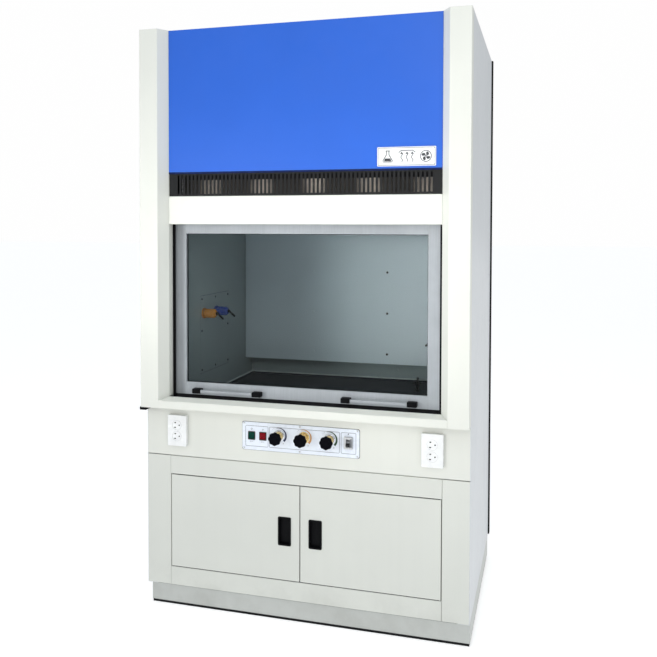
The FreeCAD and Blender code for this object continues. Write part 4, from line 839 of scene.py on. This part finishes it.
WT = B("worktop")
bm = bmesh.new()
zs, wb = WT[1].z, 0.0050
yb0, yb1 = -0.395 + 0.060, RB[1].y - 0.0031
for sg in (-1, 1):
    xi = sg * (LIN - 0.0001)
    extrude(bm, [(xi, zs + 0.0002), (xi, zs + wb), (xi - sg * wb * 0.35, zs + wb * 0.55), (xi - sg * wb * 0.62, zs + wb * 0.25), (xi - sg * wb, zs + 0.0002)], 1, yb0, yb1)
extrude(bm, [(yb1, zs + 0.0002), (yb1, zs + wb), (yb1 - wb * 0.35, zs + wb * 0.55), (yb1 - wb * 0.62, zs + wb * 0.25), (yb1 - wb, zs + 0.0002)], 0, -LIN + 0.001, LIN - 0.001)
o = obj_from(bm, "worktop_sealant", M_GREYSEAL, 50)
place(o, "casing", "phenolic_liner")

# black strips in the gaps over and under the doors, down the middle and over the plinth: painted shade, dark fill
# standing in for the shadow in these gaps
FF, PL, LD, RD = B("cabinet_face_frame"), B("plinth"), B("left_door"), B("right_door")
bm = bmesh.new()
fy = FF[0].y
for z0, z1 in ((LD[1].z + 0.0012, LD[1].z + 0.0026), (LD[0].z - 0.0026, LD[0].z - 0.0012)):
    rbox(bm, (LD[0].x + 0.004, fy + 0.0012, z0), (RD[1].x - 0.004, fy + 0.0100, z1), 0.0004, 2)
if FF[0].z - PL[1].z > 0.0008:
    rbox(bm, (-0.560, fy + 0.0015, PL[1].z + 0.0001), (0.560, fy + 0.0080, FF[0].z - 0.0001), 0.0003, 2)
o = obj_from(bm, "door_gap_shade_strips", M_RUBBER, 40)
place(o, "casing", "black_rubber")
bm = bmesh.new()
rbox(bm, (RD[0].x - 0.0013, RD[0].y + 0.0030, RD[0].z + 0.004), (RD[0].x + 0.0001, RD[0].y + 0.0130, RD[1].z - 0.004), 0.0004, 2)
o = obj_from(bm, "meeting_edge_shade_strip", M_RUBBER, 40)
place(o, "right_cabinet_door", "black_rubber")

# screws round the rear panel
RP = B("rear_panel")
bm = bmesh.new()
pts = set()
for k in range(8):
    z = RP[0].z + 0.035 + (RP[1].z - RP[0].z - 0.070) * k / 7
    pts |= {(-0.565, round(z, 4)), (0.565, round(z, 4))}
for k in range(1, 4):
    x = -0.565 + 1.130 * k / 4
    pts |= {(x, round(RP[0].z + 0.035, 4)), (x, round(RP[1].z - 0.035, 4))}
for x, z in sorted(pts):
    pan_head(bm, (x, RP[1].y, z), (0, 1, 0), 0.0055, 0.0024)
o = obj_from(bm, "rear_panel_screws", M_STEEL, 34)
place(o, "casing", "steel")

# black cap under the left post only: painted shade, a dark piece standing in for the shadow under the post's overhang
PO = B("left_post")
bm = bmesh.new()
for sg in (-1,):
    a, b = sorted((sg * 0.6052, sg * 0.5790))
    rbox(bm, (a, -0.4470, PO[0].z - 0.0110), (b, -0.4000, PO[0].z - 0.0001), 0.0012, 2)
    a, b = sorted((sg * 0.6030, sg * 0.5880))
    rbox(bm, (a, -0.4450, PO[0].z - 0.0002), (b, -0.4050, PO[0].z + 0.0060), 0.0012, 2)
o = obj_from(bm, "post_shade_cap", M_BLKPL, 40)
place(o, "casing", "black_plastic")

# dark edging along the foot of the upper panel: painted shade, a dark strip standing in for the shaded lower edge
UP = B("upper_front_panel")
bm = bmesh.new()
yf = UP[0].y
e0, e1 = UP[0].z - 0.0006, UP[0].z + 0.0062
extrude(bm, [(yf - 0.0001, e1), (yf - 0.0006, e1 - 0.0003), (yf - 0.0008, e1 - 0.0010), (yf - 0.0008, e0 + 0.0008), (yf - 0.0004, e0 + 0.0002), (yf + 0.0002, e0), (yf + 0.0060, e0), (yf + 0.0060, e0 + 0.0004), (yf + 0.0004, e0 + 0.0005), (yf - 0.0001, e0 + 0.0010)], 0, UP[0].x + 0.0002, UP[1].x - 0.0002)
o = obj_from(bm, "upper_panel_shade_edging", M_NAVY_SHADE, 40)
place(o, "casing", "black_rubber")

# ------------------------------------------------------------- name label
LB_LO, LB_HI = B("label_plate")
Y0, DP = LB_LO.y - INK, INK * 0.98
lw, lh = LB_HI.x - LB_LO.x, LB_HI.z - LB_LO.z
bm = bmesh.new()
ring_slab(bm, rrect(LB_LO.x + 0.0028, LB_LO.z + 0.0028, LB_HI.x - 0.0028, LB_HI.z - 0.0028, 0.002), rrect(LB_LO.x + 0.0041, LB_LO.z + 0.0041, LB_HI.x - 0.0041, LB_HI.z - 0.0041, 0.0014), Y0, DP)
cz = (LB_LO.z + LB_HI.z) / 2
# flask
fx = LB_LO.x + 0.036
stroke(bm, [(fx - 0.0045, cz + 0.019), (fx - 0.0045, cz + 0.006), (fx - 0.0165, cz - 0.014), (fx - 0.0145, cz - 0.018), (fx + 0.0145, cz - 0.018), (fx + 0.0165, cz - 0.014), (fx + 0.0045, cz + 0.006), (fx + 0.0045, cz + 0.019)], 0.0026, Y0, DP)
stroke(bm, [(fx - 0.0075, cz + 0.0192), (fx + 0.0075, cz + 0.0192)], 0.0026, Y0, DP)
slab(bm, [(fx - 0.0128, cz - 0.0156), (fx + 0.0128, cz - 0.0156), (fx + 0.0092, cz - 0.0060), (fx - 0.0092, cz - 0.0060)], Y0, DP)
# three rising streams under a canopy
for i, ax_ in enumerate((0.084, 0.102, 0.120)):
    x = LB_LO.x + ax_
    pts = [(x + 0.0028 * math.sin(k * 0.9), cz - 0.018 + k * 0.0030) for k in range(10)]
    stroke(bm, pts, 0.0022, Y0, DP)
    slab(bm, [(x - 0.0052, cz + 0.0082), (x + 0.0052, cz + 0.0082), (x, cz + 0.0160)], Y0, DP)
xa, xb = LB_LO.x + 0.074, LB_LO.x + 0.130
stroke(bm, [(xa, cz + 0.0130), (xa + 0.008, cz + 0.0200), (xb - 0.008, cz + 0.0200), (xb, cz + 0.0130)], 0.0024, Y0, DP)
# fan
fx = LB_LO.x + 0.166
ring_slab(bm, circle(fx, cz, 0.0195, 48), circle(fx, cz, 0.0172, 48), Y0, DP)
for k in range(4):
    a = math.radians(45 + 90 * k)
    left, right = [], []
    for j in range(9):
        t = 0.2 + 0.68 * j / 8
        aa = a + 0.55 * (t - 0.2)
        w = 0.0048 * math.sin(math.pi * min(1, (t - 0.12) / 0.9)) + 0.0006
        c_, s_ = math.cos(aa), math.sin(aa)
        px, pz = fx + 0.0172 * t * c_, cz + 0.0172 * t * s_
        left.append((px - s_ * w, pz + c_ * w))
        right.append((px + s_ * w, pz - c_ * w))
    slab(bm, left + right[::-1], Y0, DP)
slab(bm, circle(fx, cz, 0.0026, 20), Y0, DP)
o = obj_from(bm, "label_pictogram_print", M_INK_DK)
place(o, "casing", "black_enamel")

# ------------------------------------------------------------- deflector behind the grille
GR_LO, GR_HI = B("bypass_grille")
CC_LO, CC_HI = B("chamber_ceiling")
SF_LO, SF_HI = B("sash_frame")
bm = bmesh.new()
x0, x1 = CC_LO.x + 0.004, CC_HI.x - 0.004
zb, zt = GR_LO.z + 0.008, GR_LO.z + 0.0615
yb = CC_LO.y - 0.0030         # in front of the pocket wall and behind the sash's travel
NX, prev = 300, None
for i in range(NX + 1):
    x = x0 + (x1 - x0) * i / NX
    wave = 0.0010 * math.sin(2 * math.pi * (x - x0) / 0.187 + 0.9) + 0.0003 * math.sin(2 * math.pi * x / 0.071)
    row = []
    for dz, dy in ((0.0, 0.0020), (0.0005, 0.0), (0.018, -0.0002), (0.036, -0.0002), (zt - zb - 0.0008, 0.0), (zt - zb, 0.0020)):
        k = math.sin(math.pi * min(1, max(0, dz / (zt - zb)))) ** 0.3
        row.append(bm.verts.new((x, yb + dy + min(wave, 0.0010) * k, zb + dz)))
    if prev:
        for a in range(len(row) - 1):
            bm.faces.new((prev[a], row[a], row[a + 1], prev[a + 1]))
    prev = row
o = obj_from(bm, "bypass_deflector", M_GLINT_BANDS, 60)
sol = o.modifiers.new("sheet", "SOLIDIFY")
sol.thickness = 0.0006
sol.offset = 0.0
place(o, "casing", "steel")
# black sheet behind it: painted shade, so that the slots read dark where no lit sheet shows
bm = bmesh.new()
rbox(bm, (CC_LO.x + 0.001, CC_LO.y - 0.0007, CC_LO.z + 0.0005 if CC_LO.z > 1.5 else 1.5485), (CC_HI.x - 0.001, CC_LO.y - 0.0001, 1.700), 0.00025, 1)
for k in range(9):
    lathe(bm, (-0.44 + 0.11 * k, CC_LO.y - 0.0007, 1.640), (0, -1, 0), [(0.0, -0.0002), (0.0040, -0.0002), (0.0038, 0.0006), (0.0030, 0.0010), (0.0, 0.0011)], seg=24)
o = obj_from(bm, "bypass_shade_backing", M_BLACK, 40)
place(o, "casing", "black_enamel")

# ------------------------------------------------------------- glazing gasket
SG_LO, SG_HI = B("sash_glass")
SASH_LO, SASH_HI = B("sash_frame")
bm = bmesh.new()


def bead(x0, z0, x1, z1, y, ny, w=0.0020, t=0.0014):
    """Half-round bead inside a rectangle, on the plane y, standing out along ny."""
    prof = [(0.0, 0.0), (0.0, t * 0.55), (w * 0.22, t * 0.95), (w * 0.5, t), (w * 0.82, t * 0.7), (w, t * 0.15), (w, 0.0)]
    rings = []
    for inset, h in prof:
        rings.append([bm.verts.new((px, y + ny * h, pz)) for px, pz in rrect(x0 + inset, z0 + inset, x1 - inset, z1 - inset, 0.0030 - inset * 0.5, 4)])
    for a, b in zip(rings, rings[1:] + rings[:1]):
        for i in range(len(a)):
            bm.faces.new((a[i], a[(i + 1) % len(a)], b[(i + 1) % len(a)], b[i]))


bead(SG_LO.x - 0.0000, SG_LO.z, SG_HI.x, SG_HI.z, SG_LO.y, -1)
bead(SG_LO.x - 0.0000, SG_LO.z, SG_HI.x, SG_HI.z, SG_HI.y, 1)
o = obj_from(bm, "glazing_gasket", M_RUBBER, 50)
place(o, "sash", "black_rubber")

# ------------------------------------------------------------- sash grips
GM_LO, GM_HI = B("sash_grip_mounts")
GG_LO, GG_HI = B("sash_grips")
bm = bmesh.new()
bmm = bmesh.new()
gx0, gx1, gh = 0.166, 0.400, 0.017
for s in (-1, 1):
    a, b = sorted((s * (gx0 + gh), s * (gx1 - gh)))
    # bar: a rounded finger strip with a shallow grip groove behind
    prof = []
    yf, yr, zl, zh = GG_LO.y, GG_HI.y, GG_LO.z, GG_HI.z
    for (py, pz) in ((yr, zl + 0.001), (yr - 0.001, zl), (yf + 0.0028, zl), (yf + 0.0008, zl + 0.0009), (yf, zl + 0.0030), (yf, zh - 0.0034), (yf + 0.0009, zh - 0.0010), (yf + 0.0030, zh), (yr - 0.0008, zh), (yr, zh - 0.0010), (yr - 0.0004, zh - 0.0035), (yr - 0.0012, (zl + zh) / 2), (yr - 0.0004, zl + 0.0035)):
        prof.append((py, pz))
    rings = [[bm.verts.new((x, py, pz)) for py, pz in prof] for x in (a, a + 0.002, b - 0.002, b)]
    for r0, r1 in zip(rings, rings[1:]):
        for i in range(len(prof)):
            bm.faces.new((r0[i], r0[(i + 1) % len(prof)], r1[(i + 1) % len(prof)], r1[i]))
    bm.faces.new(rings[0])
    bm.faces.new(rings[-1])
    for gx in (gx0, gx1):
        cx = s * gx
        outline = []
        y0, y1 = GM_LO.y, GM_HI.y
        r = 0.0045
        pts = [(cx - gh, y1), (cx - gh, y0 + r)]
        for i in range(1, 7):
            t = math.radians(180 + 15 * i)
            pts.append((cx - gh + r + r * math.cos(t), y0 + r + r * math.sin(t)))
        for i in range(0, 7):
            t = math.radians(270 + 15 * i)
            pts.append((cx + gh - r + r * math.cos(t), y0 + r + r * math.sin(t)))
        pts.append((cx + gh, y1))
        zs = [(GM_LO.z, 0.0012), (GM_LO.z + 0.0010, 0.0), (GM_HI.z - 0.0022, 0.0), (GM_HI.z - 0.0008, 0.0006), (GM_HI.z, 0.0020)]
        rr = []
        for z, ins in zs:
            rr.append([bmm.verts.new((cx + (px - cx) * (1 - ins / gh), y0 + ins + (py - y0) * (1 - ins / (y1 - y0)), z)) for px, py in pts])
        for p, q in zip(rr, rr[1:]):
            for i in range(len(pts)):
                bmm.faces.new((p[i], p[(i + 1) % len(pts)], q[(i + 1) % len(pts)], q[i]))
        bmm.faces.new(rr[0])
        bmm.faces.new(rr[-1])
o = obj_from(bm, "sash_grip_bars", M_ALU_X, 40)
place(o, "sash", "sash_aluminium", "sash_grips")
o = obj_from(bmm, "sash_grip_blocks", M_BLKPL, 40)
place(o, "sash", "black_plastic", "sash_grip_mounts")


# ------------------------------------------------------------- cables
def wire_rope(bm, pts, r=0.0015, strands=6, pitch=0.018, seg=18):
    """A laid wire rope along points: a lobed section that turns as it goes."""
    run, rings = 0.0, []
    n = len(pts)
    side = Vector((0, 1, 0))
    for i, p in enumerate(pts):
        t = (pts[min(i + 1, n - 1)] - pts[max(i - 1, 0)]).normalized()
        u = side
        v = t.cross(u).normalized()
        if i:
            run += (p - pts[i - 1]).length
        turn = 2 * math.pi * run / pitch / 1.0
        ring = []
        for k in range(seg):
            a = 2 * math.pi * k / seg
            rr = r * (0.90 + 0.10 * math.cos(strands * (a - turn / strands)))
            ring.append(bm.verts.new(p + (u * math.cos(a) + v * math.sin(a)) * rr))
        rings.append(ring)
    for a, b in zip(rings, rings[1:]):
        for k in range(seg):
            bm.faces.new((a[k], a[(k + 1) % seg], b[(k + 1) % seg], b[k]))
    bm.faces.new(rings[0])
    bm.faces.new(rings[-1])


CB_LO, CB_HI = B("sash_cables")
cable_y = (CB_LO.y + CB_HI.y) / 2
first = True
for side, s in (("left", -1), ("right", 1)):
    px = mid(side + "_pulley").x
    pz = mid(side + "_pulley").z
    wx = mid(side + "_counterweight").x
    wtop = B(side + "_counterweight")[1].z
    sx = 2 * px - wx
    stop = B("sash_frame")[1].z
    rad = abs(wx - px)

    def line(z0, z1, x, step=0.004):
        k = max(2, int(abs(z1 - z0) / step))
        return [Vector((x, cable_y, z0 + (z1 - z0) * i / k)) for i in range(k + 1)]

    bm = bmesh.new()
    wire_rope(bm, line(pz, stop, sx))
    o = obj_from(bm, side + "_sash_cable_run", M_STEEL, 60)
    if first:
        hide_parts("sash_cables")
        first = False
    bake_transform(o)
    bm = bmesh.new()
    wire_rope(bm, line(pz, wtop, wx, 0.0015))
    o = obj_from(bm, side + "_weight_cable_run", M_STEEL, 60)
    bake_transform(o)
    bm = bmesh.new()
    arc = [Vector((px + rad * math.cos(t) * (1 if wx > px else -1), cable_y, pz + rad * math.sin(t))) for t in [math.pi * i / 60 for i in range(61)]]
    wire_rope(bm, arc)
    o = obj_from(bm, side + "_pulley_cable_wrap", M_STEEL, 60)
    place(o, "casing", "steel")

# ------------------------------------------------------------- stage and light
me = bpy.data.meshes.new("floor")
bm = bmesh.new()
bmesh.ops.create_grid(bm, x_segments=8, y_segments=8, size=60.0)
bm.to_mesh(me)
bm.free()
floor = bpy.data.objects.new("floor", me)
bpy.context.scene.collection.objects.link(floor)
fm = Mat("floor_vinyl")
fc = fm.mix(fm.map(fm.noise(0.8, 3, 0.6), 0.3, 0.7, 0, 1), (0.885, 0.885, 0.88), (0.90, 0.90, 0.90))
fm.done(fc, fm.map(fm.noise(3.0, 3, 0.6), 0.3, 0.7, 0.72, 0.80))
fm.p.inputs["Emission Color"].default_value = (1, 1, 1, 1)
fm.p.inputs["Emission Strength"].default_value = 0.53
me.materials.append(fm.m)

w = bpy.data.worlds.new("studio")
bpy.context.scene.world = w
w.use_nodes = True
wn = w.node_tree
wn.nodes.clear()
wo = wn.nodes.new("ShaderNodeOutputWorld")
bg = wn.nodes.new("ShaderNodeBackground")
bg.inputs[0].default_value = (0.935, 0.972, 1.0, 1)
bg.inputs[1].default_value = 0.53
bgc = wn.nodes.new("ShaderNodeBackground")
bgc.inputs[0].default_value = (1, 1, 1, 1)
bgc.inputs[1].default_value = 0.995
lp = wn.nodes.new("ShaderNodeLightPath")
mx = wn.nodes.new("ShaderNodeMixShader")
wn.links.new(lp.outputs["Is Camera Ray"], mx.inputs[0])
wn.links.new(bg.outputs[0], mx.inputs[1])
wn.links.new(bgc.outputs[0], mx.inputs[2])
wn.links.new(mx.outputs[0], wo.inputs[0])


def area(name, loc, target, size, power, color=(1, 1, 1), size_y=None, spread=180.0):
    l = bpy.data.lights.new(name, "AREA")
    l.energy = power
    l.color = color
    l.size = size
    l.spread = math.radians(spread)
    if size_y:
        l.shape = "RECTANGLE"
        l.size_y = size_y
    o = bpy.data.objects.new(name, l)
    bpy.context.scene.collection.objects.link(o)
    o.location = loc
    o.rotation_mode = "QUATERNION"
    o.rotation_quaternion = (Vector(target) - Vector(loc)).to_track_quat("-Z", "Y")
    return o


key = area("key", (-1.50, -3.15, 1.40), (0.62, 0.33, 1.24), 1.4, 2.7, (1.0, 0.995, 0.965), size_y=0.6, spread=33.0)
key.visible_glossy = False
area("fill", (1.0, -3.5, 2.75), (0.25, -0.4, 1.50), 1.2, 2.3, (1.0, 0.985, 0.93), spread=60.0)
area("overhead", (0.0, -1.9, 4.3), (0.0, -0.7, 0.0), 3.2, 40.0, (0.90, 0.965, 1.0))
